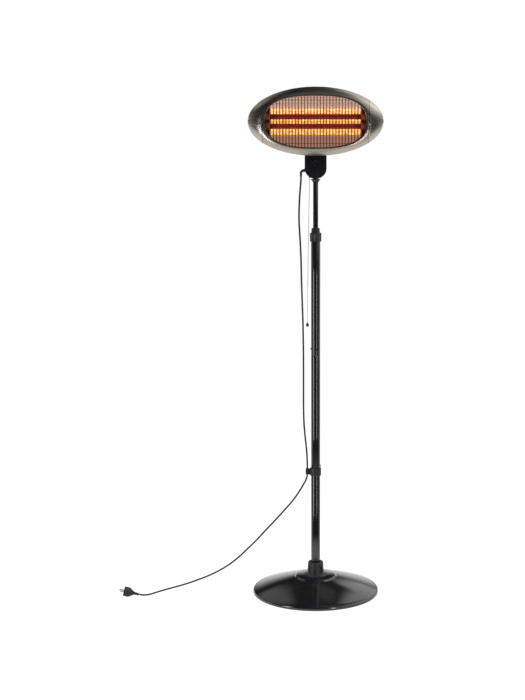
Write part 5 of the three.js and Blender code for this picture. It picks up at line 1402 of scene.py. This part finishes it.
def studio_patches(tree, bearing, height, patches):
    """The bright patches of one half of the studio, added up."""
    found = []
    for sides, ends, brightness, softness in patches:
        soft = math.radians(softness)
        across = band(tree, bearing, math.radians(sides[0]), math.radians(sides[1]), soft)
        upright = band(tree, height, math.radians(ends[0]), math.radians(ends[1]), soft)
        found.append(times(tree, across, upright, brightness))
    return add(tree, *found)


def make_world():
    world = bpy.data.worlds.new("studio")
    bpy.context.scene.world = world
    world.use_nodes = True
    tree = world.node_tree
    tree.nodes.clear()
    path = node(tree, "ShaderNodeLightPath")
    way = node(tree, "ShaderNodeTexCoord").outputs["Generated"]
    x, y, z = node(tree, "ShaderNodeSeparateXYZ", {0: way}).outputs
    height = calc(tree, "ARCSINE", z)
    behind = calc(tree, "ARCTAN2", x, y)
    before = calc(tree, "ARCTAN2", x, calc(tree, "MULTIPLY", y, -1.0))
    gloss = add(
        tree,
        studio_patches(tree, behind, height, BEHIND),
        studio_patches(tree, before, height, BEFORE),
        DIM,
    )
    shiny = calc(tree, "MAXIMUM", path.outputs["Is Glossy Ray"], path.outputs["Is Transmission Ray"])
    seen = node(tree, "ShaderNodeMix", {0: shiny, 2: 0.6}, data_type="FLOAT")
    tree.links.new(gloss, seen.inputs[3])
    level = node(tree, "ShaderNodeMix", {0: path.outputs["Is Camera Ray"], 3: 1.0}, data_type="FLOAT")
    tree.links.new(seen.outputs[0], level.inputs[2])
    back = node(tree, "ShaderNodeBackground", {"Color": (1, 1, 1, 1), "Strength": level.outputs[0]})
    output = node(tree, "ShaderNodeOutputWorld")
    tree.links.new(back.outputs[0], output.inputs["Surface"])


def softbox(name, place, target, width, height, power, mirrored=False):
    """A soft lamp, mirrored in the heater's gloss or not."""
    data = bpy.data.lights.new(name, "AREA")
    data.shape = "RECTANGLE"
    data.size, data.size_y, data.energy = width, height, power
    lamp = in_scene(name, data)
    lamp.location = place
    lamp.rotation_euler = (Vector(target) - Vector(place)).to_track_quat("-Z", "Y").to_euler()
    lamp.visible_camera = False
    lamp.visible_glossy = mirrored


STRIP_AWAY, STRIP_HEIGHT, STRIP_RADIANCE = 1.5, 1.35, 6.5


def make_studio():
    make_floor()
    make_world()
    softbox("softbox_left", (-3.4, -2.6, 2.6), (0, 0, 1.0), 1.6, 2.6, 60)
    softbox("overhead", (0.3, -0.8, 4.2), (0, 0, 0.6), 1.6, 1.6, 60)
    for name, bearing, width in (("strip_left", -50, 0.34), ("strip_right", 30, 0.2)):
        way = Vector((math.sin(math.radians(bearing)), -math.cos(math.radians(bearing)), 0))
        place = way * STRIP_AWAY + Vector((0, 0, STRIP_HEIGHT / 2 + 0.05))
        power = STRIP_RADIANCE * math.pi * width * STRIP_HEIGHT
        softbox(name, place, (0, 0, place.z), width, STRIP_HEIGHT, power, mirrored=True)
    bpy.context.scene.view_settings.view_transform = "Standard"


make_studio()
